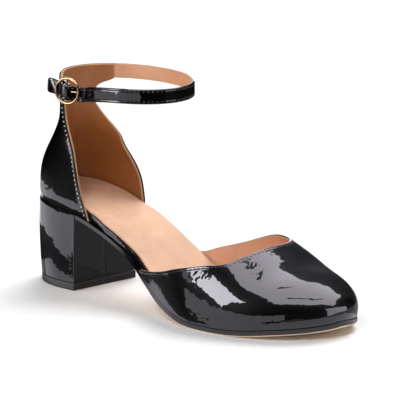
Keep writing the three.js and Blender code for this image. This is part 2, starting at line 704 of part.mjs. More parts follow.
// Rows from the middle of the bar (reach 0) to the frame (reach 1): out is 0 under the frame and 1 over the bar
const crossingRows = [
  { reach: 1.15, out: 0 },
  { reach: 0.92, out: 0.04 },
  { reach: 0.64, out: 0.33 },
  { reach: 0.36, out: 0.78 },
  { reach: 0.17, out: 0.96 },
];
const riseAlong = (back) => mix(-frontDrop, tailRise, (back + frameRadius) / (tailLength + frameRadius));
const throughBuckle = (back, out) => atBuckle(back, out, riseAlong(back));
const crossing = (row, sign) => throughBuckle(sign * row.reach * frameRadius, mix(-underRim, overBar, row.out));
const buckleKnots = [
  atBuckle(-frameRadius - 5, -underRim, -0.8 * frontDrop),
  ...crossingRows.map((row) => crossing(row, -1)),
  throughBuckle(0, overBar),
  ...[...crossingRows].reverse().map((row) => crossing(row, 1)),
  throughBuckle(mix(frameRadius, tailLength, 0.5), -underRim),
  throughBuckle(tailLength, -underRim + 0.8),
];
const strapKnots = [...loopKnots, ...buckleKnots];
const strapRoute = new THREE.CatmullRomCurve3(strapKnots, false, 'centripetal');
const stepsPerKnot = 3;
const strapPath = strapRoute.getPoints((strapKnots.length - 1) * stepsPerKnot);
const strapBody = barGeometry(strapPath, strapHeight, strapThickness);
const prongHole = rod(prongFoot, atBuckle(-prongLength - 1, prongOut), prongWire / 2 + bottomGap);
const frameRoom = new THREE.TorusGeometry(frameRadius, ringWire / 2 + bottomGap, frameSides, frameSteps);
placeFrame(frameRoom);
const strap = toSolid(strapBody).subtract(toSolid(prongHole)).subtract(toSolid(frameRoom));
addPiece('strap', fromSolid(strap), patent);

export default group;
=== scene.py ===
"""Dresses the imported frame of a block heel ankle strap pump, and lights it for the photo's view."""

import bmesh
import bpy
import numpy as np
from bpy.props import FloatProperty, FloatVectorProperty, PointerProperty
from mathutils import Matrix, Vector


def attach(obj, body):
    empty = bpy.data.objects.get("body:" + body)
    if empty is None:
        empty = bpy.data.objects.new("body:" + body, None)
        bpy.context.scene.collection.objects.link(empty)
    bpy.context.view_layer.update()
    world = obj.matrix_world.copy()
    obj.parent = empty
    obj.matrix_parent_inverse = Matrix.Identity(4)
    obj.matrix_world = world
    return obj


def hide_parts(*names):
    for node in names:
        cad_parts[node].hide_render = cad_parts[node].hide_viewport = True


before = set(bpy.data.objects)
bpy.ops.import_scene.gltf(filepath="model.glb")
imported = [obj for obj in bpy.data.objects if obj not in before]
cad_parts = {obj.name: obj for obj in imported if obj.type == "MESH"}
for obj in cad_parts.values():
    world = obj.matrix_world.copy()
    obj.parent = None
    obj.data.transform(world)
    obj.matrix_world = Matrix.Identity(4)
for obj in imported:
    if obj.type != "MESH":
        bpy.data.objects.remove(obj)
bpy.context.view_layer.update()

bl_info = {
    "name": "Block Heel Pump",
    "version": (1, 0, 0),
    "blender": (4, 5, 0),
    "location": "3D View > Sidebar > Pump",
    "description": "Makes a patent leather pump with a block heel and an ankle strap",
    "category": "Object",
}

# All shapes are worked out in millimetres, in the frame's axes: +X to the toe, +Y to the inner side, +Z up
MM = 0.001
DEGREES = np.pi / 180
FORWARD = np.array([1.0, 0, 0])
UP = np.array([0, 0, 1.0])

# Driving dimensions of the last and the sole
SOLE_LENGTH = 232.8
HEEL_SETBACK = 23.4
SEAT_WIDTH = 49.0
WAIST_WIDTH = 45.8
BALL_WIDTH = 82.0
TOE_SWING = 8.9
HEEL_RISE = 53.6
TOE_SPRING = 6.1
CROWN_HEIGHT = 40.0
PIECE_GAP = 0.3

# Driving dimensions of the layers
OUTSOLE_THICKNESS = 3.0
OUTSOLE_LIP = 0.15
BOARD_THICKNESS = 3.0
SEAT_THICKNESS = 6.2
SOCK_THICKNESS = 1.2
SOCK_INSET = 0.8
VAMP_WALL = 1.8
QUARTER_WALL = 2.2

# Driving dimensions of the heel
HEEL_FOOT_WIDTH = 50.6
HEEL_FOOT_LENGTH = 46.0
TOP_PIECE_THICKNESS = 4.8
FOOT_CURVE_SHARE = 0.72
HEEL_SWELL = 0.7
HEEL_SHOULDER = 0.35
BREAST_GROOVE = 0.4

# Driving dimensions of the ankle strap
LOOP_LENGTH = 90.2
LOOP_WIDTH = 68.6
LOOP_FORWARD = 41.0
LOOP_INWARD = 1.7
LOOP_TOP = 128.2
LOOP_PITCH = 2.0
LOOP_ROLL = 0.8
STRAP_HEIGHT = 8.8
STRAP_THICKNESS = 1.7
STRAP_SEAM_INSET = 1.5
STRAP_LOOP_END = 236.0

# Driving dimensions of the buckle
RING_DIAMETER = 16.4
RING_WIRE = 1.6
BAR_WIRE = 1.3
PRONG_WIRE = 1.0
RING_FORWARD = 29.0
RING_OUTWARD = 34.6
RING_DROP = 5.9
RING_TURN = 19.0
TAIL_LENGTH = 13.4
TAIL_RISE = 2.6
TAIL_TWIST = 18.0
FRONT_DROP = 1.8
TAB_THICKNESS = 0.8

# Rows of the sole's edge: place along the sole, share of half the width, the width, share of the toe's swing
EDGE_ROWS = [
    (0, 0, SEAT_WIDTH, 0),
    (0.01, 0.41, SEAT_WIDTH, 0),
    (0.03, 0.672, SEAT_WIDTH, 0),
    (0.06, 0.866, SEAT_WIDTH, 0),
    (0.09, 0.95, SEAT_WIDTH, 0),
    (0.13, 0.992, SEAT_WIDTH, 0),
    (0.17, 1, SEAT_WIDTH, 0),
    (0.22, 0.985, SEAT_WIDTH, -0.02),
    (0.29, 0.958, SEAT_WIDTH, -0.13),
    (0.39, 1, WAIST_WIDTH, -0.4),
    (0.49, 0.645, BALL_WIDTH, -0.47),
    (0.593, 0.83, BALL_WIDTH, -0.35),
    (0.675, 0.971, BALL_WIDTH, 0),
    (0.756, 1, BALL_WIDTH, 0.25),
    (0.838, 0.939, BALL_WIDTH, 0.5),
    (0.909, 0.776, BALL_WIDTH, 0.74),
    (0.959, 0.551, BALL_WIDTH, 0.92),
    (0.985, 0.351, BALL_WIDTH, 0.99),
    (1, 0, BALL_WIDTH, 1),
]

# Rows of the sole's height: place along the sole, share of the heel's rise, share of the toe's spring
HEIGHT_ROWS = [
    (0, 1, 0),
    (0.19, 0.855, 0),
    (0.3, 0.72, 0),
    (0.41, 0.528, 0),
    (0.49, 0.296, 0),
    (0.545, 0.152, 0),
    (0.6, 0.066, 0),
    (0.65, 0.018, 0),
    (0.7, 0, 0),
    (0.78, 0, 0),
    (0.82, 0, 0.08),
    (0.9, 0, 0.4),
    (1, 0, 1),
]

# Rows of the last's ridge: place along the sole, share of the crown height, lean to the inner side
CROWN_ROWS = [
    (0, 2.6, 0),
    (0.45, 1.85, 0.08),
    (0.6, 1.56, 0.08),
    (0.7, 1.28, 0.07),
    (0.8, 1.0, 0.04),
    (0.85, 0.815, 0.02),
    (0.909, 0.66, 0),
    (0.959, 0.475, 0),
    (0.985, 0.33, 0),
    (0.996, 0.2, 0),
    (1, 0, 0),
]
CROWN_FULLNESS = 0.09
SIDE_BULGE = 0.35
TOE_OVERHANG = 1.4
OVERHANG_HEIGHT = 11.0

# Rows of the vamp's top line: place along the sole, share of the section's height
THROAT_AT = 0.787
OUTER_THROAT_ROWS = [
    (0.458, 0.012),
    (0.48, 0.055),
    (0.52, 0.165),
    (0.571, 0.3),
    (0.673, 0.575),
    (0.72, 0.69),
    (0.752, 0.752),
    (0.774, 0.845),
    (THROAT_AT, 1),
]
INNER_THROAT_ROWS = [
    (0.442, 0.012),
    (0.465, 0.06),
    (0.512, 0.225),
    (0.596, 0.48),
    (0.677, 0.74),
    (0.73, 0.85),
    (0.768, 0.93),
    (THROAT_AT, 1),
]

# Rows of the quarter: height share, lean from the sole to the loop, outer and inner wing shares, band share
QUARTER_ROWS = [
    (0, 0, 1, 1, 0),
    (0.05, -0.01, 0.965, 1, 0),
    (0.12, 0.01, 0.93, 1, 0),
    (0.2, 0.045, 0.9, 1, 0),
    (0.28, 0.12, 0.89, 1, 0),
    (0.36, 0.255, 0.9, 1.01, 0),
    (0.44, 0.43, 0.93, 1.03, 0),
    (0.52, 0.61, 0.97, 1.08, 0),
    (0.59, 0.75, 0.99, 1.06, 0),
    (0.66, 0.865, 1, 0.93, 0),
    (0.74, 0.95, 1, 0.79, 0),
    (0.82, 0.99, 1, 0.87, 0.01),
    (0.855, 1, 1, 0.97, 0.12),
    (0.873, 1, 1, 1, 0.36),
    (0.882, 1, 1, 1, 1),
    (0.94, 1, 1, 1, 1),
    (1, 1, 1, 1, 1),
]
OUTER_WING_FORWARD = 34.5
INNER_WING_FORWARD = 33.5
OUTER_WING_TURN = 57.0
INNER_WING_TURN = 25.0
INNER_BAND_TURN = 41.0
CORNER_DROP = 2.4

# Rows of the outsole: place along the sole, share of its thickness, share of its lip
OUTSOLE_ROWS = [
    (0.2, 0.7, -1.4),
    (0.42, 0.75, -1),
    (0.55, 0.95, 0),
    (0.65, 1, 0.6),
    (0.8, 1, 1),
    (1, 1, 1.2),
]
WAIST_INSET = 0.8
WAIST_FADE = 14.0
FADE_START = 1.0
WALL_CLEARANCE = 0.45


def mix(low, high, share):
    """The value a share of the way from low to high."""
    return low + (high - low) * share


def ease(share):
    """A share that starts and stops gently."""
    share = np.clip(share, 0, 1)
    return share * share * (3 - 2 * share)


def smooth(knots, values):
    """A smooth curve through the rows of a table that never overshoots them."""
    knots = np.asarray(knots, float)
    values = np.asarray(values, float)
    width = np.diff(knots)
    chord = np.diff(values) / width
    before = chord[:-1]
    after = chord[1:]
    weight_before = 2 * width[1:] + width[:-1]
    weight_after = width[1:] + 2 * width[:-1]
    turning = before * after <= 0
    safe_before = np.where(turning, 1, before)
    safe_after = np.where(turning, 1, after)
    mean = (weight_before + weight_after) / (weight_before / safe_before + weight_after / safe_after)
    slopes = np.concatenate([chord[:1], np.where(turning, 0, mean), chord[-1:]])

    def curve(where):
        x = np.clip(where, knots[0], knots[-1])
        i = np.clip(np.searchsorted(knots, x, side="right") - 1, 0, len(knots) - 2)
        t = (x - knots[i]) / width[i]
        rise = values[i + 1] - values[i]
        a = slopes[i] * width[i] - rise
        b = rise - slopes[i + 1] * width[i]
        return values[i] + t * rise + t * (1 - t) * (a * (1 - t) + b * t)

    return curve


def softened(curve, low, high, blur):
    """The same curve with its small kinks blurred away, so that gloss runs over it without a break."""
    count = 1200
    reach = 200
    x = np.linspace(low, high, count)
    y = curve(x)
    before = 2 * y[0] - y[reach:0:-1]
    after = 2 * y[-1] - y[-2:-reach - 2:-1]
    steps = np.arange(-reach, reach + 1) * (high - low) / (count - 1)
    weights = np.exp(-0.5 * (steps / blur) ** 2)
    blurred = np.convolve(np.concatenate([before, y, after]), weights / weights.sum(), mode="valid")
    return lambda where: np.interp(where, x, blurred)


def turn_at(at):
    """The angle that stands for a place along the sole, so that both ends come out round."""
    return np.arccos(1 - 2 * np.clip(at, 0, 1))


# How far the kinks of the sole's curves are blurred, as a turn
SOLE_BLUR = 0.035


def along(rows, column=1, scale=1.0):
    """A column of a table, as a smooth function of the place along the sole."""
    turns = turn_at(np.array([row[0] for row in rows]))
    values = np.array([row[column] for row in rows]) * scale
    curve = softened(smooth(turns, values), turns[0], turns[-1], SOLE_BLUR)
    return lambda at: curve(turn_at(at))


def x_at(at):
    return at * SOLE_LENGTH - HEEL_SETBACK


def share_at(x):
    return (x + HEEL_SETBACK) / SOLE_LENGTH


half_at = along([(at, half * width / 2) for at, half, width, _ in EDGE_ROWS])
middle_at = along([(at, swing * TOE_SWING) for at, _, _, swing in EDGE_ROWS])
rise_at = along(HEIGHT_ROWS, 1, HEEL_RISE - OUTSOLE_THICKNESS)
spring_at = along(HEIGHT_ROWS, 2, TOE_SPRING)
crown_at = along(CROWN_ROWS, 1, CROWN_HEIGHT)
lean_at = along(CROWN_ROWS, 2)


def edge_height(at):
    """The height of the sole's top at its edge."""
    return OUTSOLE_THICKNESS + rise_at(at) + spring_at(at)


def lift_at(at, thickness):
    """The height of a layer measured square to the sloping sole."""
    step = 0.01
    low = np.maximum(at - step, 0)
    high = np.minimum(at + step, 1)
    slope = (edge_height(high) - edge_height(low)) / (x_at(high) - x_at(low))
    return edge_height(at) + thickness * np.hypot(1, slope)


def foot_height(x):
    return edge_height(share_at(x)) + PIECE_GAP


def last_point(at, turn):
    """A point of the last's skin. turn is 0 at the outer edge, a quarter turn at the ridge."""
    across = np.cos(turn)
    up = np.sin(turn)
    side = across * (1 + CROWN_FULLNESS * up * up) + SIDE_BULGE * up * up * across ** 3
    height = up * (1 + CROWN_FULLNESS * across * across)
    half = half_at(at)
    y = middle_at(at) - half * side + half * lean_at(at) * height * height
    above = crown_at(at) * height
    risen = np.clip(above / OVERHANG_HEIGHT, 0, 1)
    x = x_at(at) + TOE_OVERHANG * ease(4 * at - 3) * risen * (2 - risen)
    return np.stack([x, y, edge_height(at) + PIECE_GAP + above], axis=-1)


def turn_for_share(share):
    """The turn at which a section reaches a share of its height."""
    turns = np.linspace(0, np.pi / 2, 2000)
    heights = np.sin(turns) * (1 + CROWN_FULLNESS * np.cos(turns) ** 2)
    top = int(np.argmax(heights >= 1))
    return np.where(share >= 1, np.pi / 2, np.interp(share, heights[:top + 1], turns[:top + 1]))


def run_along(line):
    """The distance of each point of a line from its start."""
    steps = np.linalg.norm(np.diff(line, axis=0), axis=1)
    return np.concatenate([[0], np.cumsum(steps)])


def read_cubic(line, place):
    """Reads a line of points at fractional positions, on a smooth curve through them."""
    low = np.clip(np.floor(place).astype(int), 0, len(line) - 2)
    t = (place - low)[..., None]
    last = len(line) - 1
    p1 = line[low]
    p2 = line[low + 1]
    p0 = np.where(low[..., None] > 0, line[np.maximum(low - 1, 0)], 2 * p1 - p2)
    p3 = np.where(low[..., None] < last - 1, line[np.minimum(low + 2, last)], 2 * p2 - p1)
    bend = 2 * p0 - 5 * p1 + 4 * p2 - p3 + t * (3 * (p1 - p2) + p3 - p0)
    return p1 + 0.5 * t * (p2 - p0 + t * bend)


def read_at(line, distances):
    """Reads a line of points at distances from its start."""
    run = run_along(line)
    return read_cubic(line, np.interp(distances, run, np.arange(len(line))))


def evenly(line, count):
    """The same line with this many points at even distances."""
    return read_at(line, np.linspace(0, run_along(line)[-1], count))


def read_rows(grid, distances):
    """Reads every row of a grid at that row's own distances."""
    return np.array([read_at(row, places) for row, places in zip(grid, distances)])


def grid_normals(grid):
    """The outward normals of a grid whose rows run round the shoe and whose columns run upward."""
    lengthwise = np.empty_like(grid)
    lengthwise[1:-1] = grid[2:] - grid[:-2]
    lengthwise[0] = grid[1] - grid[0]
    lengthwise[-1] = grid[-1] - grid[-2]
    upward = np.empty_like(grid)
    upward[:, 1:-1] = grid[:, 2:] - grid[:, :-2]
    upward[:, 0] = grid[:, 1] - grid[:, 0]
    upward[:, -1] = grid[:, -1] - grid[:, -2]
    normal = np.cross(lengthwise, upward)
    return normal / np.maximum(np.linalg.norm(normal, axis=2, keepdims=True), 1e-12)


# Points along each side of a surface, before its layers read it at their own steps
DENSE = 300


def vamp_surface():
    """The vamp's outer skin: rows from the outer rear end round the toe to the inner one, columns upward."""
    outer_rear = OUTER_THROAT_ROWS[0][0]
    inner_rear = INNER_THROAT_ROWS[0][0]
    share = np.linspace(0, 1, DENSE)
    low = np.stack([mix(np.sqrt(1 - outer_rear), -np.sqrt(1 - inner_rear), share), 0 * share], axis=1)

    def side(rows, rear, inner):
        at = mix(rear, THROAT_AT, np.sin(share * np.pi / 2))
        turn = turn_for_share(along(rows)(at))
        turn = np.pi - turn if inner else turn
        return np.stack([np.sqrt(1 - at) * np.cos(turn), np.sqrt(1 - at) * np.sin(turn)], axis=1)

    outer = side(OUTER_THROAT_ROWS, outer_rear, False)
    inner = side(INNER_THROAT_ROWS, inner_rear, True)
    high = np.concatenate([outer, inner[-2::-1]])

    def on_last(chart):
        across = chart[..., 0]
        up = chart[..., 1]
        return last_point(1 - across ** 2 - up ** 2, np.arctan2(up, across))

    def spread(line):
        run = run_along(on_last(line))
        places = np.interp(np.linspace(0, run[-1], DENSE), run, np.arange(len(line)))
        return read_cubic(line, places)

    low = spread(low)
    high = spread(high)
    up = np.linspace(0, 1, DENSE // 2)[None, :, None]
    return on_last(low[:, None] * (1 - up) + high[:, None] * up)


def loop_point(turn, inset):
    """A point of the ankle loop. turn is 0 at the back and grows towards the inner side."""
    x = LOOP_FORWARD - (LOOP_LENGTH / 2 - inset) * np.cos(turn)
    y = LOOP_INWARD + (LOOP_WIDTH / 2 - inset) * np.sin(turn)
    z = LOOP_TOP + (LOOP_PITCH * np.cos(turn) + LOOP_ROLL * np.sin(turn)) / 2
    return np.stack([x, y, z], axis=-1)


def outline_run(sign, forward):
    """The sole's edge from the back to a place forward, read by its share of that length."""
    share = np.linspace(0, 1, DENSE)
    at = share_at(mix(-HEEL_SETBACK, forward, 1 - np.cos(share * np.pi / 2)))
    line = np.stack([x_at(at), middle_at(at) + sign * half_at(at), edge_height(at) + PIECE_GAP], axis=1)
    even = evenly(line, DENSE)
    return lambda where: read_cubic(even, np.clip(where, 0, 1.2) * (DENSE - 1))


# How far the kinks of the quarter's curves are blurred, as a share of its height
QUARTER_BLUR = 0.012


def quarter_surface():
    """The quarter's outer skin: rows from the inner wing round the back to the outer wing, columns upward."""
    ups = [row[0] for row in QUARTER_ROWS]
    up = np.linspace(0, 1, DENSE)[None, :]
    columns = [smooth(ups, [row[k] for row in QUARTER_ROWS]) for k in range(1, 5)]
    lean, outer, inner, band = [softened(curve, 0, 1, QUARTER_BLUR)(up) for curve in columns]
    side = 1 - 2 * np.linspace(0, 1, DENSE)[:, None]
    inner_low = outline_run(1, INNER_WING_FORWARD)(np.clip(side, 0, 1) * inner)
    outer_low = outline_run(-1, OUTER_WING_FORWARD)(np.clip(-side, 0, 1) * outer)
    low = np.where((side > 0)[..., None], inner_low, outer_low)
    inner_turn = mix(inner, INNER_BAND_TURN / INNER_WING_TURN, band) * INNER_WING_TURN
    turn = side * np.where(side > 0, inner_turn, outer * OUTER_WING_TURN)
    high = loop_point(turn * DEGREES, 0)
    high[..., 2] -= CORNER_DROP * ease(-side * 2 - 1)
    point = low + (high - low) * lean[..., None]
    point[..., 2] = mix(low[..., 2], high[..., 2], up)
    return point


def outline_point(at, sign, inset):
    """A point of the sole's outline, set in square to the edge."""
    def place(turn):
        share = (1 - np.cos(turn)) / 2
        return np.stack([x_at(share), middle_at(share) + sign * half_at(share)], axis=-1)

    step = 0.02
    turn = turn_at(at)
    run = place(np.minimum(turn + step, np.pi)) - place(np.maximum(turn - step, 0))
    run /= np.linalg.norm(run, axis=-1, keepdims=True)
    square = np.stack([run[..., 1], -run[..., 0]], axis=-1)
    return place(turn) + square * (sign * np.asarray(inset))[..., None]


def stations_between(start, end, count):
    """Places along the sole, closer together where an end is round."""
    share = np.linspace(0, 1, count)
    if start == 0 and end == 1:
        share = (1 - np.cos(np.pi * share)) / 2
    elif start == 0:
        share = 1 - np.cos(share * np.pi / 2)
    elif end == 1:
        share = np.sin(share * np.pi / 2)
    return mix(start, end, share)


def layer_grids(start, end, inset, low, high, stations, columns):
    """The underside and the top of a flat layer, as grids from the outer to the inner edge."""
    at = stations_between(start, end, stations)
    x = x_at(at)
    outer = outline_point(at, -1, inset(x, -1))
    inner = outline_point(at, 1, inset(x, 1))
    share = np.linspace(0, 1, columns)[None, :, None]
    flat = outer[:, None] * (1 - share) + inner[:, None] * share
    return [np.concatenate([flat, height(flat[..., 0])[..., None]], axis=2) for height in (low, high)]


def board_inset(x, sign):
    """How far the insole stays inside the sole's outline: inside the walls, near the edge at the waist."""
    wing = OUTER_WING_FORWARD if sign < 0 else INNER_WING_FORWARD
    rear = x_at((OUTER_THROAT_ROWS if sign < 0 else INNER_THROAT_ROWS)[0][0])
    opening = ease((x - wing - FADE_START) / WAIST_FADE) * ease((rear - FADE_START - x) / WAIST_FADE)
    wall = np.where(x < (wing + rear) / 2, QUARTER_WALL, VAMP_WALL)
    return mix(wall + WALL_CLEARANCE, WAIST_INSET, opening)


board_thick_at = along([
    (0, SEAT_THICKNESS),
    (0.12, mix(BOARD_THICKNESS, SEAT_THICKNESS, 0.85)),
    (0.25, mix(BOARD_THICKNESS, SEAT_THICKNESS, 0.4)),
    (0.45, mix(BOARD_THICKNESS, SEAT_THICKNESS, 0.25)),
    (0.6, BOARD_THICKNESS),
    (1, BOARD_THICKNESS),
])


def board_lift(above):
    """The height of something that lies on the insole board, from x."""
    return lambda x: lift_at(share_at(x), PIECE_GAP + board_thick_at(share_at(x)) + above)


# Mesh helpers
def new_piece(name, points, faces, materials, nodes=(), slot_name=None, kinds=None):
    """Adds a smooth mesh from points in millimetres, and puts it on the frame."""
    mesh = bpy.data.meshes.new(name)
    mesh.from_pydata((np.asarray(points, float).reshape(-1, 3) * MM).tolist(), [], faces)
    for material in materials:
        mesh.materials.append(material)
    if kinds is not None:
        mesh.polygons.foreach_set("material_index", np.asarray(kinds, np.int32))
    shaper = bmesh.new()
    shaper.from_mesh(mesh)
    bmesh.ops.remove_doubles(shaper, verts=shaper.verts, dist=1e-6)
    bmesh.ops.recalc_face_normals(shaper, faces=shaper.faces)
    shaper.to_mesh(mesh)
    shaper.free()
    mesh.shade_smooth()
    piece = bpy.data.objects.new(name, mesh)
    bpy.context.scene.collection.objects.link(piece)
    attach(piece, "root")
    if nodes:
        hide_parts(*nodes)
    return piece


def grid_faces(rows, columns, start=0):
    """The four-sided faces of a grid of points."""
    i, j = np.meshgrid(np.arange(rows - 1), np.arange(columns - 1), indexing="ij")
    a = start + i * columns + j
    return np.stack([a, a + columns, a + columns + 1, a + 1], axis=-1).reshape(-1, 4).tolist()


def closed_grids(outer, inner):
    """The points and faces of a solid between two grids of the same size, closed along all four borders."""
    rows, columns = outer.shape[:2]
    points = np.concatenate([outer.reshape(-1, 3), inner.reshape(-1, 3)])
    shift = rows * columns
    faces = grid_faces(rows, columns) + grid_faces(rows, columns, shift)
    borders = [
        np.arange(columns),
        (rows - 1) * columns + np.arange(columns),
        np.arange(rows) * columns,
        np.arange(rows) * columns + columns - 1,
    ]
    for border in borders:
        faces += [[a, b, b + shift, a + shift] for a, b in zip(border[:-1].tolist(), border[1:].tolist())]
    return points, faces


def round_edges(piece, width, segments=4, angle=35, even=True):
    """Rounds the sharp edges of a piece, and keeps the broad faces' shading even."""
    bevel = piece.modifiers.new("rounded edges", "BEVEL")
    bevel.width = width * MM
    bevel.segments = segments
    bevel.limit_method = "ANGLE"
    bevel.angle_limit = angle * DEGREES
    bevel.use_clamp_overlap = True
    if even:
        weighted = piece.modifiers.new("even shading", "WEIGHTED_NORMAL")
        weighted.keep_sharp = True


# Rows over a rounded edge, and in the border beside it that the fold and the stitches shape
RIM_ROWS = 7
BORDER_REACH = 5.0
BORDER_ROWS = 16

# The upper's foot reaches into the gap over the sole. The outsole's lower part keeps its natural colour.
FOOT_REACH = 0.15
GRAIN_FACE = 0.6

# Widths of the small bevels
SOCK_BEVEL = 0.45
SOLE_BEVEL = 0.2
HEEL_BEVEL = 0.8
LIFT_BEVEL = 0.35

# How far the thread stands proud, the gap between patent and lining, and how far the lining's edge lies back
THREAD_RISE = 0.1
LAYER_GAP = 0.02
LINING_INSET = 0.15


def rim_distances(length, radius, count, round_start, round_end):
    """Distances along a line: even in the middle, closer near an edge, closest where it rounds over."""
    bend = radius * (1 - np.cos(np.linspace(0, np.pi / 2, RIM_ROWS)))
    border = np.linspace(radius, BORDER_REACH, BORDER_ROWS + 1)[1:]
    edge = np.concatenate([bend, border])
    scale = min(1.0, 0.45 * length / BORDER_REACH)
    start = edge * scale if round_start else np.array([0.0])
    end = length - edge[::-1] * scale if round_end else np.array([length])
    middle = np.linspace(start[-1], end[0], count + 2)[1:-1]
    return np.concatenate([start, middle, end])


def trimmed(grid, set_in, ends):
    """A grid cut back from its edges by a distance. ends says if its first and last rows are edges too."""
    def cut(row, start, end):
        length = run_along(row)[-1]
        end = min(end, 0.4 * length)
        start = min(start, 0.4 * length)
        return read_at(row, np.linspace(start, length - end, len(row)))

    grid = np.array([cut(row, 0, set_in) for row in grid])
    if ends:
        turned = np.swapaxes(grid, 0, 1)
        grid = np.swapaxes(np.array([cut(row, set_in, set_in) for row in turned]), 0, 1)
    return grid


def layer_solid(surface, outside, inside, set_in, rows, columns, ends, relief=None, tuck=(0, 1)):
    """A sewn layer between two depths under a surface, with rounded edges.

    relief lowers the outer face by its distance from the edge. tuck is how far the foot is drawn in, and
    over what height. Gives the points, the faces, the outer grid, and which faces lie on the rounded edges.
    """
    grid = trimmed(surface, set_in, ends) if set_in else surface
    radius = (inside - outside) / 2
    along_rows = np.swapaxes(grid, 0, 1)
    distances = np.array([
        rim_distances(run_along(row)[-1], radius, rows, ends, ends) for row in along_rows
    ])
    grid = np.swapaxes(read_rows(along_rows, distances), 0, 1)
    distances = np.array([
        rim_distances(run_along(row)[-1], radius, columns, False, True) for row in grid
    ])
    grid = read_rows(grid, distances)
    normals = grid_normals(grid)
    lengths = np.array([run_along(row)[-1] for row in grid])
    to_top = lengths[:, None] - distances
    nearest = to_top
    fullness = np.sqrt(1 - np.clip(1 - to_top / radius, 0, 1) ** 2)
    if ends:
        runs = np.array([run_along(row) for row in np.swapaxes(grid, 0, 1)]).T
        to_end = np.minimum(runs, runs[-1] - runs)
        nearest = np.minimum(to_top, to_end)
        fullness = fullness * np.sqrt(1 - np.clip(1 - to_end / radius, 0, 1) ** 2)
    half = radius * fullness[..., None]
    middle = grid - normals * (outside + inside) / 2
    outer = middle + normals * half
    inner = middle - normals * half
    if relief is not None:
        outer = outer - normals * relief(nearest)[..., None] * fullness[..., None]
    near_foot = np.clip(1 - distances / tuck[1], 0, 1)[..., None] ** 2
    outer = outer - normals * tuck[0] * near_foot
    outer[:, 0, 2] = foot_height(outer[:, 0, 0]) - FOOT_REACH
    inner[:, 0, 2] = foot_height(inner[:, 0, 0]) - FOOT_REACH
    points, faces = closed_grids(outer, inner)
    on_rim = nearest < 1.1 * radius
    side = (on_rim[:-1, :-1] & on_rim[1:, 1:]).ravel()
    rim = np.concatenate([side, side, np.ones(len(faces) - 2 * len(side), bool)])
    return points, faces, outer, rim.astype(int)


def tube_faces(rings, sides, start=0, endless=False):
    """The faces round a tube of rings, capped at both ends unless it runs back into itself."""
    i, k = np.meshgrid(np.arange(rings if endless else rings - 1), np.arange(sides), indexing="ij")
    here = start + i * sides
    ahead = start + (i + 1) % rings * sides
    beside = (k + 1) % sides
    faces = np.stack([here + k, here + beside, ahead + beside, ahead + k], axis=-1).reshape(-1, 4).tolist()
    if not endless:
        faces.append([start + k for k in range(sides)])
        faces.append([start + (rings - 1) * sides + k for k in range(sides)])
    return faces


def thread_row(line, normals, proud, stout=1.0):
    """Points and faces of a row of stitches, each a short rounded thread that sinks in at both ends."""
    sizes = sizes_in_mm()
    length = sizes["stitch_length"]
    width = sizes["thread_width"] * stout
    run = run_along(line)
    count = int(run[-1] // sizes["stitch_pitch"])
    places = (np.arange(count) + 0.5) * run[-1] / count
    index = np.interp(places, run, np.arange(len(line)))
    centre = read_cubic(line, index)
    normal = read_cubic(normals, index)
    tangent = read_cubic(line, np.interp(places + 0.3, run, np.arange(len(line)))) - centre
    tangent /= np.linalg.norm(tangent, axis=1, keepdims=True)
    normal /= np.linalg.norm(normal, axis=1, keepdims=True)
    across = np.cross(normal, tangent)
    rings = 7
    sides = 8
    station = np.linspace(-1, 1, rings)
    girth = np.sqrt(np.clip(1 - station ** 6, 0.02, 1))
    turn = np.arange(sides) * 2 * np.pi / sides
    shape = []
    for where, size in zip(station, girth):
        for angle in turn:
            rise = proud * (1 - where ** 4) + width / 2 * size * np.sin(angle) - proud * 0.5 * where ** 4
            shape.append((where * length / 2, width / 2 * size * np.cos(angle), rise))
    shape = np.array(shape)
    points = (
        centre[:, None]
        + tangent[:, None] * shape[None, :, :1]
        + across[:, None] * shape[None, :, 1:2]
        + normal[:, None] * shape[None, :, 2:]
    ).reshape(-1, 3)
    faces = []
    for stitch in range(count):
        faces += tube_faces(rings, sides, start=stitch * rings * sides)
    return points, faces


def joined(parts):
    """Several lists of points and faces as one."""
    points = []
    faces = []
    shift = 0
    for part_points, part_faces in parts:
        points.append(np.asarray(part_points).reshape(-1, 3))
        faces += [[index + shift for index in face] for face in part_faces]
        shift += len(points[-1])
    return np.concatenate(points), faces


def swept(path, outward, upward, profiles):
    """A closed profile swept along a path. profiles holds each station's (outward, upward) offsets."""
    points = path[:, None] + outward[:, None] * profiles[..., :1] + upward[:, None] * profiles[..., 1:]
    return points.reshape(-1, 3), tube_faces(*profiles.shape[:2])


def level_frame(path):
    """The outward and the upward direction at each point of a path that stays nearly level."""
    forward = np.gradient(path, axis=0)
    forward[:, 2] = 0
    forward /= np.linalg.norm(forward, axis=1, keepdims=True)
    outward = np.stack([-forward[:, 1], forward[:, 0], 0 * forward[:, 0]], axis=1)
    return outward, np.tile(UP, (len(path), 1))


def rod_path(path, radii, sides=20):
    """A round rod along a path, with its own radius at each point and closed, rounded ends."""
    forward = np.gradient(path, axis=0)
    forward /= np.linalg.norm(forward, axis=1, keepdims=True)
    aside = np.cross(forward, UP)
    weak = np.linalg.norm(aside, axis=1) < 1e-3
    aside[weak] = np.cross(forward[weak], FORWARD)
    aside /= np.linalg.norm(aside, axis=1, keepdims=True)
    third = np.cross(forward, aside)
    turn = np.arange(sides) * 2 * np.pi / sides
    profiles = np.stack([np.cos(turn), np.sin(turn)], axis=1)[None] * np.asarray(radii)[:, None, None]
    return swept(path, aside, third, profiles)


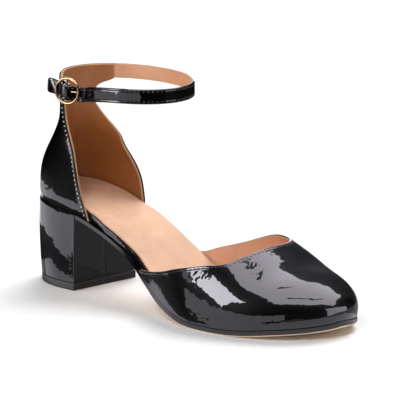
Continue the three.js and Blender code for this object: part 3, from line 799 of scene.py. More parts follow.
def ring_solid(middle, side, up, radius, wide, deep, steps=128, sides=24):
    """A ring in the plane of side and up, whose wire is wide in the plane and deep across it."""
    face = np.cross(side, up)
    turn = np.arange(steps) * 2 * np.pi / steps
    spin = np.arange(sides) * 2 * np.pi / sides
    outward = np.cos(turn)[:, None] * side + np.sin(turn)[:, None] * up
    points = (
        middle
        + outward[:, None] * (radius + wide / 2 * np.cos(spin)[None, :, None])
        + face * (deep / 2 * np.sin(spin))[None, :, None]
    )
    return points.reshape(-1, 3), tube_faces(steps, sides, endless=True)


def spline(knots, count):
    """A centripetal curve through knots, read at even steps of its knots."""
    knots = np.asarray(knots, float)
    last = len(knots) - 1
    points = []
    for where in np.linspace(0, last, count):
        i = min(int(where), last - 1)
        t = where - i
        p1 = knots[i]
        p2 = knots[i + 1]
        p0 = knots[i - 1] if i > 0 else 2 * p1 - p2
        p3 = knots[i + 2] if i < last - 1 else 2 * p2 - p1
        d0 = max(np.linalg.norm(p1 - p0) ** 0.5, 1e-4)
        d1 = max(np.linalg.norm(p2 - p1) ** 0.5, 1e-4)
        d2 = max(np.linalg.norm(p3 - p2) ** 0.5, 1e-4)
        m1 = (p1 - p0) / d0 - (p2 - p0) / (d0 + d1) + (p2 - p1) / d1
        m2 = (p2 - p1) / d1 - (p3 - p1) / (d1 + d2) + (p3 - p2) / d2
        m1 = m1 * d1
        m2 = m2 * d1
        a = 2 * p1 - 2 * p2 + m1 + m2
        b = -3 * p1 + 3 * p2 - 2 * m1 - m2
        points.append(a * t ** 3 + b * t ** 2 + m1 * t + p1)
    return np.array(points)


# Materials
def linear(colour):
    """Turns an sRGB hex value into linear red, green, blue and alpha."""
    shares = [(colour >> shift & 255) / 255 for shift in (16, 8, 0)]
    return (*[s / 12.92 if s <= 0.04045 else ((s + 0.055) / 1.055) ** 2.4 for s in shares], 1.0)


def add_node(tree, kind, settings=None, inputs=None):
    """Adds a node, sets its properties, and fills its inputs with values or with (node, output) links."""
    node = tree.nodes.new(kind)
    for name, value in (settings or {}).items():
        setattr(node, name, value)
    for name, value in (inputs or {}).items():
        if isinstance(value, tuple) and isinstance(value[0], bpy.types.Node):
            tree.links.new(value[0].outputs[value[1]], node.inputs[name])
        else:
            node.inputs[name].default_value = value
    return node


def shade(colour, share):
    """The same colour with less light."""
    return (*[channel * share for channel in colour[:3]], 1.0)


def new_material(name):
    """A bare material: its node tree, and the object coordinates in metres."""
    material = bpy.data.materials.new(name)
    material.use_nodes = True
    tree = material.node_tree
    tree.nodes.clear()
    return material, tree, add_node(tree, "ShaderNodeTexCoord")


def show(tree, shader):
    """Sends a shader to the material's output."""
    add_node(tree, "ShaderNodeOutputMaterial", inputs={"Surface": (shader, 0)})


def per(size):
    """The texture scale, per metre, of a pattern whose cells are this many millimetres."""
    return 1 / (size * MM)


def patent_leather(colour):
    """Side leather with a cast polyurethane film: a black ground under a clear coat with a faint ripple."""
    material, tree, place = new_material("patent leather, film coated")
    ripple = add_node(tree, "ShaderNodeTexNoise", inputs={
        "Vector": (place, "Object"), "Scale": per(11), "Detail": 2.0, "Roughness": 0.45,
    })
    peel = add_node(tree, "ShaderNodeTexNoise", inputs={
        "Vector": (place, "Object"), "Scale": per(3.6), "Detail": 1.0, "Roughness": 0.4,
    })
    pores = add_node(tree, "ShaderNodeTexNoise", inputs={
        "Vector": (place, "Object"), "Scale": per(1.4), "Detail": 3.0, "Roughness": 0.5,
    })
    waves = add_node(tree, "ShaderNodeBump", inputs={
        "Height": (ripple, 0), "Strength": 0.35, "Distance": 0.16 * MM,
    })
    orange_peel = add_node(tree, "ShaderNodeBump", inputs={
        "Height": (peel, 0), "Strength": 0.6, "Distance": 0.14 * MM, "Normal": (waves, 0),
    })
    skin = add_node(tree, "ShaderNodeBump", inputs={
        "Height": (pores, 0), "Strength": 0.06, "Distance": 0.02 * MM, "Normal": (orange_peel, 0),
    })
    shader = add_node(tree, "ShaderNodeBsdfPrincipled", inputs={
        "Base Color": colour, "Roughness": 0.4, "Specular IOR Level": 0.08, "Normal": (skin, 0),
        "Coat Weight": 1.0, "Coat Roughness": 0.02, "Coat IOR": 1.5, "Coat Normal": (skin, 0),
    })
    show(tree, shader)
    return material


def leather(name, colour, grain, roughness, depth):
    """Dyed or natural leather: two tones in soft clouds, and a fine grain of rounded cells."""
    material, tree, place = new_material(name)
    clouds = add_node(tree, "ShaderNodeTexNoise", inputs={
        "Vector": (place, "Object"), "Scale": per(14), "Detail": 5.0, "Roughness": 0.6,
    })
    cells = add_node(tree, "ShaderNodeTexVoronoi", inputs={
        "Vector": (place, "Object"), "Scale": per(grain), "Randomness": 1.0,
    })
    fibres = add_node(tree, "ShaderNodeTexNoise", inputs={
        "Vector": (place, "Object"), "Scale": per(grain * 2.5), "Detail": 4.0, "Roughness": 0.6,
    })
    share = add_node(tree, "ShaderNodeMapRange", inputs={
        "Value": (clouds, 0), "From Min": 0.3, "From Max": 0.7,
    })
    tone = add_node(tree, "ShaderNodeMix", {"data_type": "RGBA"}, {
        0: (share, 0), 6: shade(colour, 0.84), 7: colour,
    })
    first = add_node(tree, "ShaderNodeBump", inputs={
        "Height": (cells, "Distance"), "Strength": 0.5, "Distance": depth * MM,
    })
    second = add_node(tree, "ShaderNodeBump", inputs={
        "Height": (fibres, 0), "Strength": 0.4, "Distance": depth * MM, "Normal": (first, 0),
    })
    shader = add_node(tree, "ShaderNodeBsdfPrincipled", inputs={
        "Base Color": (tone, 2), "Roughness": roughness, "IOR": 1.45, "Normal": (second, 0),
    })
    show(tree, shader)
    return material


def edge_paint(colour):
    """Edge dressing on cut leather: black, brushed on, with a low sheen."""
    material, tree, place = new_material("edge dressing, brushed black")
    streaks = add_node(tree, "ShaderNodeTexNoise", inputs={
        "Vector": (place, "Object"), "Scale": per(0.8), "Detail": 3.0,
    })
    bump = add_node(tree, "ShaderNodeBump", inputs={
        "Height": (streaks, 0), "Strength": 0.2, "Distance": 0.02 * MM,
    })
    shader = add_node(tree, "ShaderNodeBsdfPrincipled", inputs={
        "Base Color": colour, "Roughness": 0.12, "IOR": 1.5, "Normal": (bump, 0),
    })
    show(tree, shader)
    return material


def rose_gold(colour):
    """Die cast zinc, polished and plated in rose gold: a warm mirror with the faint scratches of wear."""
    material, tree, place = new_material("rose gold plate, polished")
    marks = add_node(tree, "ShaderNodeTexNoise", inputs={
        "Vector": (place, "Object"), "Scale": per(0.7), "Detail": 4.0, "Roughness": 0.7,
    })
    rough = add_node(tree, "ShaderNodeMapRange", inputs={
        "Value": (marks, 0), "From Min": 0.35, "From Max": 0.7, "To Min": 0.1, "To Max": 0.24,
    })
    bump = add_node(tree, "ShaderNodeBump", inputs={
        "Height": (marks, 0), "Strength": 0.15, "Distance": 0.02 * MM,
    })
    shader = add_node(tree, "ShaderNodeBsdfPrincipled", inputs={
        "Base Color": colour, "Metallic": 1.0, "Roughness": (rough, 0), "Normal": (bump, 0),
    })
    show(tree, shader)
    return material


def moulded_rubber(colour):
    """Moulded thermoplastic rubber: matt, with a fine pebble and a paler line where it is bonded on."""
    material, tree, place = new_material("heel rubber, moulded")
    pebble = add_node(tree, "ShaderNodeTexNoise", inputs={
        "Vector": (place, "Object"), "Scale": per(0.5), "Detail": 3.0,
    })
    height = add_node(tree, "ShaderNodeSeparateXYZ", inputs={0: (place, "Object")})
    line = add_node(tree, "ShaderNodeMapRange", inputs={
        "Value": (height, 2), "From Min": 3.1 * MM, "From Max": 3.5 * MM,
    })
    tone = add_node(tree, "ShaderNodeMix", {"data_type": "RGBA"}, {
        0: (line, 0), 6: colour, 7: shade(colour, 2),
    })
    bump = add_node(tree, "ShaderNodeBump", inputs={
        "Height": (pebble, 0), "Strength": 0.4, "Distance": 0.05 * MM,
    })
    shader = add_node(tree, "ShaderNodeBsdfPrincipled", inputs={
        "Base Color": (tone, 2), "Roughness": 0.45, "IOR": 1.5, "Normal": (bump, 0),
    })
    show(tree, shader)
    return material


def sewing_thread(colour):
    """Bonded polyester thread, twisted, with a slight shine."""
    material, tree, place = new_material("sewing thread, bonded polyester")
    twist = add_node(tree, "ShaderNodeTexNoise", inputs={
        "Vector": (place, "Object"), "Scale": per(0.25), "Detail": 2.0,
    })
    bump = add_node(tree, "ShaderNodeBump", inputs={
        "Height": (twist, 0), "Strength": 0.4, "Distance": 0.05 * MM,
    })
    shader = add_node(tree, "ShaderNodeBsdfPrincipled", inputs={
        "Base Color": colour, "Roughness": 0.25, "IOR": 1.5, "Specular IOR Level": 1.0, "Normal": (bump, 0),
    })
    show(tree, shader)
    return material


def size_property(name, description, millimetres):
    """A length property whose default is given in millimetres."""
    return FloatProperty(name=name, description=description, default=millimetres * MM, min=0, unit="LENGTH")


def hex_property(name, description, colour):
    """A colour property whose default is an sRGB hex value."""
    return FloatVectorProperty(
        name=name, description=description, subtype="COLOR", size=4, min=0, max=1, default=linear(colour),
    )


class PumpSizes(bpy.types.PropertyGroup):
    """Sizes of the leather layers and of the sewing"""

    upper_skin: size_property("Upper leather", "Thickness of the patent leather", 0.95)
    fold_width: size_property("Fold to stitches", "From the folded edge to its stitches", 2.1)
    stitch_pitch: size_property("Stitch pitch", "From one stitch to the next", 2.7)
    stitch_length: size_property("Stitch length", "Length of the thread that shows in one stitch", 1.15)
    thread_width: size_property("Thread", "Thickness of the sewing thread", 0.55)
    edge_rounding: size_property("Edge rounding", "Rounding of the wrapped insole board's edges", 1.35)


class PumpColours(bpy.types.PropertyGroup):
    """Colours of the leathers and the fittings"""

    patent: hex_property("Patent leather", "Ground colour under the clear film", 0x040404)
    quarter_lining: hex_property("Quarter lining", "Leather inside the heel part", 0xA86A35)
    vamp_lining: hex_property("Vamp lining", "Leather inside the toe part", 0xE2AA86)
    strap_lining: hex_property("Strap lining", "Leather inside the ankle strap", 0xDDA27A)
    sock: hex_property("Sock", "Leather that the foot stands on", 0xE6B897)
    cut_edge: hex_property("Cut edge", "Pale edge of the lining leather", 0xC79463)
    sole: hex_property("Sole", "Natural grain face of the outsole", 0xEBCDAB)
    sole_edge: hex_property("Sole edge", "Dressing on the outsole's edge", 0x0B0A0A)
    buckle: hex_property("Buckle", "Plating of the frame and the prong", 0x9C7C5C)
    rubber: hex_property("Top piece", "Rubber that meets the floor", 0x1C191A)
    thread: hex_property("Thread", "Bonded sewing thread", 0x303033)
    # Painted glints: the same dark thread as the other rows, given a pale colour along the outer front edge
    # where light catches its stitches
    thread_painted_with_glints: hex_property("Front edge thread, painted glints", "Pale thread along the outer front edge, painted glints on dark thread", 0xC4C4CA)


class PumpStage(bpy.types.PropertyGroup):
    """The camera, the lights and the floor"""

    paper: hex_property("Floor", "Colour of the paper that the shoe stands on", 0xF8F8F8)
    air: FloatProperty(name="Air", description="Brightness of the light from all round", default=0.3, min=0)
    sun: FloatProperty(name="Soft sun", description="Strength of the light from above", default=2.85, min=0)
    cards: FloatProperty(name="Cards", description="Brightness of the cards in the gloss", default=1.0, min=0)
    eye: FloatVectorProperty(
        name="Eye", description="Where the photo was taken from",
        subtype="TRANSLATION", unit="LENGTH", size=3,
        default=(1.42962, -1.29623, 0.45819),
    )
    aim: FloatVectorProperty(
        name="Aim", description="The middle of the shoe as the eye sees it", subtype="TRANSLATION",
        unit="LENGTH", size=3, default=(0.101, 0.0031, 0.0628),
    )
    lens: FloatProperty(
        name="Lens", description="Focal length for a square picture, in millimetres", default=296.0, min=1,
        unit="CAMERA",
    )


made = {}


def material_for(name):
    """The object's materials, each made once."""
    colours = bpy.context.scene.pump_colours
    makers = {
        "patent": lambda: patent_leather(colours.patent),
        "quarter lining": lambda: leather(
            "lining calf, aniline dyed", colours.quarter_lining, 0.7, 0.5, 0.05,
        ),
        "vamp lining": lambda: leather("vamp lining, pigmented calf", colours.vamp_lining, 0.6, 0.5, 0.04),
        "strap lining": lambda: leather(
            "strap lining, pigmented calf", colours.strap_lining, 0.6, 0.5, 0.04,
        ),
        "sock": lambda: leather("sock leather, natural calf", colours.sock, 0.55, 0.48, 0.04),
        "sole": lambda: leather("sole bend, oak tanned", colours.sole, 0.5, 0.6, 0.06),
        "edge": lambda: edge_paint(colours.sole_edge),
        "cut edge": lambda: leather("cut edge of the lining", colours.cut_edge, 0.4, 0.7, 0.05),
        "rose gold": lambda: rose_gold(colours.buckle),
        "rubber": lambda: moulded_rubber(colours.rubber),
        "thread": lambda: sewing_thread(colours.thread),
        "thread painted with glints": lambda: sewing_thread(colours.thread_painted_with_glints),
    }
    if name not in made:
        made[name] = makers[name]()
    return made[name]


def sizes_in_mm():
    """The user's sizes, in millimetres by name."""
    sizes = bpy.context.scene.pump_sizes
    return {name: getattr(sizes, name) / MM for name in PumpSizes.__annotations__}


def fold_relief(fold_width):
    """How far the outer face sinks near an edge: a flat fold, then the valley that the stitches pull in."""
    def depth(distance):
        valley = 0.11 * np.exp(-((distance - fold_width) / 0.55) ** 2)
        return valley + 0.1 * ease((distance - fold_width) / 1.4)

    return depth


def border_line(grid, normals, distance):
    """The line that stays a distance below the top edge of a grid."""
    lengths = np.array([run_along(row)[-1] for row in grid])
    keep = lengths > 2.2 * distance
    points = []
    across = []
    for row, normal, length in zip(grid[keep], normals[keep], lengths[keep]):
        run = run_along(row)
        index = np.interp(length - distance, run, np.arange(len(row)))
        points.append(read_cubic(row, np.array([index]))[0])
        across.append(read_cubic(normal, np.array([index]))[0])
    return np.array(points), np.array(across)


class PUMP_OT_vamp(bpy.types.Operator):
    """Make the toe part: the upper leather, its lining and its stitches"""

    bl_idname = "pump.vamp"
    bl_label = "Vamp"

    def execute(self, context):
        surface = vamp_surface()
        sizes = sizes_in_mm()
        skin = sizes["upper_skin"]
        fold = sizes["fold_width"]
        points, faces, outer, _ = layer_solid(
            surface, 0, skin, 0, 260, 60, False, fold_relief(fold),
        )
        new_piece("vamp_upper", points, faces, [material_for("patent")], ["vamp"], "patent")
        points, faces, _, rim = layer_solid(
            surface, skin + LAYER_GAP, VAMP_WALL, LINING_INSET, 200, 30, False,
        )
        finish = [material_for("vamp lining"), material_for("cut edge")]
        new_piece("vamp_lining", points, faces, finish, ["vamp"], "sock_leather", rim)
        line, across = border_line(outer, grid_normals(outer), fold)
        points, faces = thread_row(line, across, THREAD_RISE)
        new_piece("vamp_stitches", points, faces, [material_for("thread")], slot_name="patent")
        return {"FINISHED"}


class PUMP_OT_quarter(bpy.types.Operator):
    """Make the heel part: the upper leather, its lining and its stitches"""

    bl_idname = "pump.quarter"
    bl_label = "Quarter"

    def execute(self, context):
        surface = quarter_surface()
        sizes = sizes_in_mm()
        skin = sizes["upper_skin"]
        fold = sizes["fold_width"]
        points, faces, outer, _ = layer_solid(
            surface, 0, skin, 0, 200, 150, True, fold_relief(fold), tuck=(0.8, 9.0),
        )
        new_piece("quarter_upper", points, faces, [material_for("patent")], ["quarter"], "patent")
        points, faces, _, rim = layer_solid(
            surface, skin + LAYER_GAP, QUARTER_WALL, LINING_INSET, 150, 110, True,
        )
        finish = [material_for("quarter lining"), material_for("cut edge")]
        new_piece("quarter_lining", points, faces, finish, ["quarter"], "sock_leather", rim)
        normals = grid_normals(outer)
        turned = np.swapaxes(outer, 0, 1)
        turned_normals = np.swapaxes(normals, 0, 1)

        def stitches(grid, grid_across, stout=1.0):
            line, across = border_line(grid, grid_across, fold)
            run = run_along(line)
            inside = (run > fold) & (run < run[-1] - fold)
            return thread_row(line[inside], across[inside], THREAD_RISE * stout, stout)

        top = stitches(outer, normals)
        # The outer front row is a little stouter and gets the pale thread, which paints glints onto the dark
        # thread
        outer_front_glints = stitches(turned, turned_normals, 1.3)
        inner_front = stitches(turned[:, ::-1], turned_normals[:, ::-1])
        points, faces = joined([top, inner_front])
        new_piece("quarter_stitches", points, faces, [material_for("thread")], slot_name="patent")
        # Painted glints: this row takes the pale copy of the thread
        new_piece("quarter_front_stitches_painted_glints", *outer_front_glints, [material_for("thread painted with glints")], slot_name="patent")
        return {"FINISHED"}


class PUMP_OT_insole(bpy.types.Operator):
    """Make the wrapped insole board and the sock that lies on it"""

    bl_idname = "pump.insole"
    bl_label = "Insole"

    def execute(self, context):
        low, high = layer_grids(
            0, 1, board_inset, lambda x: lift_at(share_at(x), PIECE_GAP), board_lift(0), 240, 28,
        )
        points, faces = closed_grids(high, low)
        board = new_piece(
            "insole_board_wrap", points, faces, [material_for("patent")], ["insole_board"], "patent",
        )
        round_edges(board, sizes_in_mm()["edge_rounding"], 6, even=False)
        low, high = layer_grids(
            0, 1, lambda x, sign: board_inset(x, sign) + SOCK_INSET,
            board_lift(PIECE_GAP), board_lift(PIECE_GAP + SOCK_THICKNESS), 240, 28,
        )
        points, faces = closed_grids(high, low)
        sock = new_piece("sock_leather_top", points, faces, [material_for("sock")], ["sock"], "sock_leather")
        round_edges(sock, SOCK_BEVEL)
        return {"FINISHED"}


class PUMP_OT_outsole(bpy.types.Operator):
    """Make the leather outsole, with its blackened edge"""

    bl_idname = "pump.outsole"
    bl_label = "Outsole"

    def execute(self, context):
        thick_at = along(OUTSOLE_ROWS, 1, OUTSOLE_THICKNESS)
        out_at = along(OUTSOLE_ROWS, 2, OUTSOLE_LIP)
        start = share_at(HEEL_FOOT_LENGTH / 2 + PIECE_GAP)

        def slab(set_in, below, above):
            low, high = layer_grids(
                start, 1, lambda x, sign: set_in - out_at(share_at(x)), below, above, 220, 28,
            )
            return closed_grids(high, low)

        def underside(above):
            def height(x):
                tread = 0.15 + 0.85 * ease((share_at(x) - 0.5) / 0.1)
                return lift_at(share_at(x), above * tread - thick_at(share_at(x)))
            return height

        dressed = slab(0, underside(GRAIN_FACE), lambda x: lift_at(share_at(x), FOOT_REACH - 0.05))
        natural = slab(0.1, underside(0), underside(GRAIN_FACE + 0.01))
        points, faces = joined([dressed, natural])
        kinds = [0] * len(dressed[1]) + [1] * len(natural[1])
        sole = new_piece(
            "outsole_leather", points, faces, [material_for("edge"), material_for("sole")],
            ["outsole"], "sole_leather", kinds,
        )
        round_edges(sole, SOLE_BEVEL, 3)
        return {"FINISHED"}


def foot_ring(height, stations):
    """The outline of the heel's foot: round behind and square at the breast."""
    share = np.linspace(0, 1, stations)
    from_back = HEEL_FOOT_LENGTH * (1 - np.cos(share * np.pi / 2))
    square = np.clip(1 - from_back / (HEEL_FOOT_LENGTH * FOOT_CURVE_SHARE), 0, 1)
    half = HEEL_FOOT_WIDTH / 2 * np.sqrt(1 - square ** 2)
    x = from_back - HEEL_FOOT_LENGTH / 2
    side = np.stack([x, half, np.full(stations, height)], axis=1)
    return np.concatenate([side[::-1] * np.array([1, -1, 1]), side[1:]])


def seat_ring(stations):
    """The outline of the seat on top of the heel."""
    at = stations_between(0, share_at(HEEL_FOOT_LENGTH / 2), stations)
    sides = [outline_point(at, sign, np.zeros(stations)) for sign in (-1, 1)]
    ring = np.concatenate([sides[0][::-1], sides[1][1:]])
    return np.concatenate([ring, edge_height(share_at(ring[:, :1]))], axis=1)


def ring_stack(rings):
    """Points and faces of a solid between rings, with a flat cap at each end."""
    return np.concatenate(rings), tube_faces(len(rings), len(rings[0]))


class PUMP_OT_heel(bpy.types.Operator):
    """Make the wrapped heel block and the top piece under it"""

    bl_idname = "pump.heel"
    bl_label = "Heel"

    def execute(self, context):
        stations = 90
        # The breast from side to side, as shares of half its width, and the seam's groove in its middle
        across = np.array([-20, -12, -5, -1.2, -0.45, 0, 0.45, 1.2, 5, 12, 20])[:, None] / 24
        groove = np.array([0, 0, 0, 0, 0.55, 1, 0.55, 0, 0, 0, 0])[:, None] * BREAST_GROOVE
        foot = foot_ring(TOP_PIECE_THICKNESS, stations)
        seat = seat_ring(stations)
        rings = []
        for share in np.append(np.linspace(0, 0.96, 36), [0.97, 0.98, 0.99, 1]):
            ring = foot + (seat - foot) * share
            swell = HEEL_SWELL * 4 * share * (1 - share) - HEEL_SHOULDER * ease((share - 0.97) / 0.03)
            away = ring[:, :2] - ring.mean(axis=0)[:2]
            away /= np.linalg.norm(away, axis=1, keepdims=True)
            back_part = ease((HEEL_FOOT_LENGTH / 2 - 1 - ring[:, 0]) / 12)
            ring[:, :2] += away * (swell * back_part)[:, None]
            breast = ring[-1] + (ring[0] - ring[-1]) * (0.5 + across / 2) - groove * FORWARD
            rings.append(np.concatenate([ring, breast]))
        points, faces = ring_stack(rings)
        block = new_piece(
            "heel_block_wrap", points, faces, [material_for("patent")], ["heel_block"], "patent",
        )
        round_edges(block, HEEL_BEVEL)
        rings = [foot_ring(height, stations) for height in (0, TOP_PIECE_THICKNESS - PIECE_GAP)]
        points, faces = ring_stack(rings)
        lift = new_piece("top_piece_lift", points, faces, [material_for("rubber")], ["top_piece"], "rubber")
        round_edges(lift, LIFT_BEVEL, 3)
        return {"FINISHED"}


# Places at the buckle: behind runs to the heel along the frame, out away from the foot
RING_HEIGHT = LOOP_TOP - RING_DROP
RING_MIDDLE = np.array([RING_FORWARD, -RING_OUTWARD, RING_HEIGHT])
BEHIND = np.array([-np.cos(RING_TURN * DEGREES), -np.sin(RING_TURN * DEGREES), 0])
OUT_OF = np.array([-BEHIND[1], BEHIND[0], 0])
FRAME_RADIUS = (RING_DIAMETER - RING_WIRE) / 2
EYE_RADIUS = BAR_WIRE / 2 + PIECE_GAP + PRONG_WIRE / 2


def at_buckle(back, out, up=0.0):
    return RING_MIDDLE + BEHIND * back + OUT_OF * out + UP * up


def strap_route():
    """The middle line of the strap, from the inner band round the front and through the buckle."""
    strap_in = STRAP_THICKNESS / 2
    under_rim = RING_WIRE / 2 + PIECE_GAP + strap_in
    over_bar = EYE_RADIUS + PRONG_WIRE / 2 + PIECE_GAP + strap_in
    start = INNER_BAND_TURN - PIECE_GAP / (LOOP_WIDTH / 2) / DEGREES
    share = np.linspace(0, 1, 21)
    loop = loop_point(mix(start, STRAP_LOOP_END, share) * DEGREES, strap_in)
    loop[:, 2] -= STRAP_HEIGHT / 2

    def through(back, out):
        rise = mix(-FRONT_DROP, TAIL_RISE, (back + FRAME_RADIUS) / (TAIL_LENGTH + FRAME_RADIUS))
        return at_buckle(back, out, rise)

    # Rows of the crossing: share of the frame's radius from the bar, share of the way from rim to bar
    crossing = [(1.15, 0), (0.92, 0.04), (0.64, 0.33), (0.36, 0.78), (0.17, 0.96)]
    knots = [*loop, at_buckle(-23.4, 2.7, 0), at_buckle(-15.7, 0.45, -0.5 * FRONT_DROP)]
    knots += [through(-reach * FRAME_RADIUS, mix(-under_rim, over_bar, out)) for reach, out in crossing]
    knots += [through(0, over_bar)]
    knots += [through(reach * FRAME_RADIUS, mix(-under_rim, over_bar, out)) for reach, out in crossing[::-1]]
    knots += [through(mix(FRAME_RADIUS, TAIL_LENGTH, 0.5), -under_rim)]
    knots += [through(TAIL_LENGTH, -under_rim + 0.8)]
    return spline(knots, 900)


def strap_profile(outer, edge, count=15):
    """Half of the strap's section, as (outward, upward) offsets: the patent face, or the lining."""
    half = STRAP_HEIGHT / 2 - edge
    height = np.linspace(-half, half, 4 * count + 1)
    rounding = 0.75 if outer else 0.4
    depth = STRAP_THICKNESS / 2 * (1.0 if outer else 0.98)
    fall = np.clip((np.abs(height) - (half - rounding)) / rounding, 0, 1)
    face = depth * np.sqrt(1 - fall ** 2)
    if outer:
        seam = half - STRAP_SEAM_INSET
        face = face - 0.05 * np.exp(-((np.abs(height) - seam) / 0.35) ** 2)
    sign = 1 if outer else -1
    front = np.stack([sign * face, height], axis=1)
    back = np.array([[sign * 0.01, half], [sign * 0.01, -half]])
    return np.concatenate([front, back])


class PUMP_OT_strap(bpy.types.Operator):
    """Make the ankle strap: patent outside, lining inside, stitched along both edges"""

    bl_idname = "pump.strap"
    bl_label = "Strap"

    def execute(self, context):
        path = evenly(strap_route(), 620)
        run = run_along(path)
        outward, upward = level_frame(path)
        from_tip = run[-1] - run
        narrow = 0.75 + 0.25 * np.sqrt(1 - np.clip(1 - from_tip / 1.6, 0, 1) ** 2)
        twist = TAIL_TWIST * DEGREES * ease(1 - from_tip / 6)[:, None]
        outward, upward = (
            outward * np.cos(twist) + upward * np.sin(twist),
            upward * np.cos(twist) - outward * np.sin(twist),
        )
        for outer, name, finish, slot_name in (
            (True, "strap_upper", "patent", "patent"),
            (False, "strap_lining", "strap lining", "sock_leather"),
        ):
            profile = strap_profile(outer, 0.0 if outer else 0.05)
            profiles = np.tile(profile, (len(path), 1, 1))
            profiles[..., 1] *= narrow[:, None]
            points, faces = swept(path, outward, upward, profiles)
            new_piece(name, points, faces, [material_for(finish)], ["strap"], slot_name)
        rows = []
        clear = (run > 1.5) & (from_tip > 3.2)
        for sign in (-1, 1):
            line = path + outward * (STRAP_THICKNESS / 2 - 0.1)
            line += upward * sign * (STRAP_HEIGHT / 2 - STRAP_SEAM_INSET)
            rows.append(thread_row(line[clear], outward[clear], 0.06, 0.84))
        points, faces = joined(rows)
        new_piece("strap_stitches", points, faces, [material_for("thread")], slot_name="patent")
        return {"FINISHED"}


class PUMP_OT_buckle(bpy.types.Operator):
    """Make the round frame with its bar, the prong, and the leather tab that holds them"""

    bl_idname = "pump.buckle"
    bl_label = "Buckle"

    def execute(self, context):
        gold = [material_for("rose gold")]
        ring = ring_solid(RING_MIDDLE, BEHIND, UP, FRAME_RADIUS, RING_WIRE, RING_WIRE)
        ends = np.linspace(-FRAME_RADIUS, FRAME_RADIUS, 24)
        bar = rod_path(np.array([at_buckle(0, 0, up) for up in ends]), np.full(24, BAR_WIRE / 2))
        points, faces = joined([ring, bar])
        new_piece("buckle_ring_plate", points, faces, gold, ["buckle_ring"], "rose_gold")
        eye = ring_solid(RING_MIDDLE, BEHIND, OUT_OF, EYE_RADIUS, PRONG_WIRE, PRONG_WIRE, 64, 16)
        out = RING_WIRE / 2 + PIECE_GAP + PRONG_WIRE / 2
        share = np.linspace(0, 1, 40)
        reach = FRAME_RADIUS + 1.2
        shank = np.array([
            at_buckle(-0.2 - (reach - 0.2) * s, mix(EYE_RADIUS, out, s) - 0.35 * ease((s - 0.82) / 0.18))
            for s in share
        ])
        radii = PRONG_WIRE / 2 * (1 - 0.12 * share) * np.sqrt(1 - np.clip((share - 0.93) / 0.075, 0, 1) ** 2)
        points, faces = joined([eye, rod_path(shank, np.maximum(radii, 0.05))])
        new_piece("buckle_prong_plate", points, faces, gold, ["buckle_prong"], "rose_gold")
        inner = BAR_WIRE / 2 + PIECE_GAP
        middle = inner + TAB_THICKNESS / 2
        wing = loop_point(-OUTER_WING_TURN * DEGREES, QUARTER_WALL / 2)
        ahead = loop_point(-(OUTER_WING_TURN + 1) * DEGREES, QUARTER_WALL / 2) - wing
        ahead[2] = 0
        ahead /= np.linalg.norm(ahead)
        aside = np.array([ahead[1], -ahead[0], 0]) * TAB_THICKNESS / 2
        start = wing + ahead * 2 * PIECE_GAP
        start[2] = RING_HEIGHT
        tangent = start + ahead * 3
        turn = np.linspace(-70, 250, 25) * DEGREES
        around = [at_buckle(middle * np.cos(t), middle * np.sin(t)) for t in turn]
        knots = [start + aside, tangent + aside, *around, tangent - aside, start - aside]
        route = evenly(spline(knots, 160), 140)
        outward, upward = level_frame(route)
        side = TAB_THICKNESS / 2
        top = (STRAP_HEIGHT - 0.6) / 2
        corner = np.array([(side, top - 0.3), (side - 0.1, top - 0.1), (side - 0.3, top)])
        profile = np.concatenate([
            corner * (-1, 1), corner[::-1], corner * (1, -1), corner[::-1] * (-1, -1),
        ])
        points, faces = swept(route, -outward, upward, np.tile(profile, (len(route), 1, 1)))
        new_piece("buckle_tab_leather", points, faces, [material_for("patent")], ["buckle_tab"], "patent")
        return {"FINISHED"}


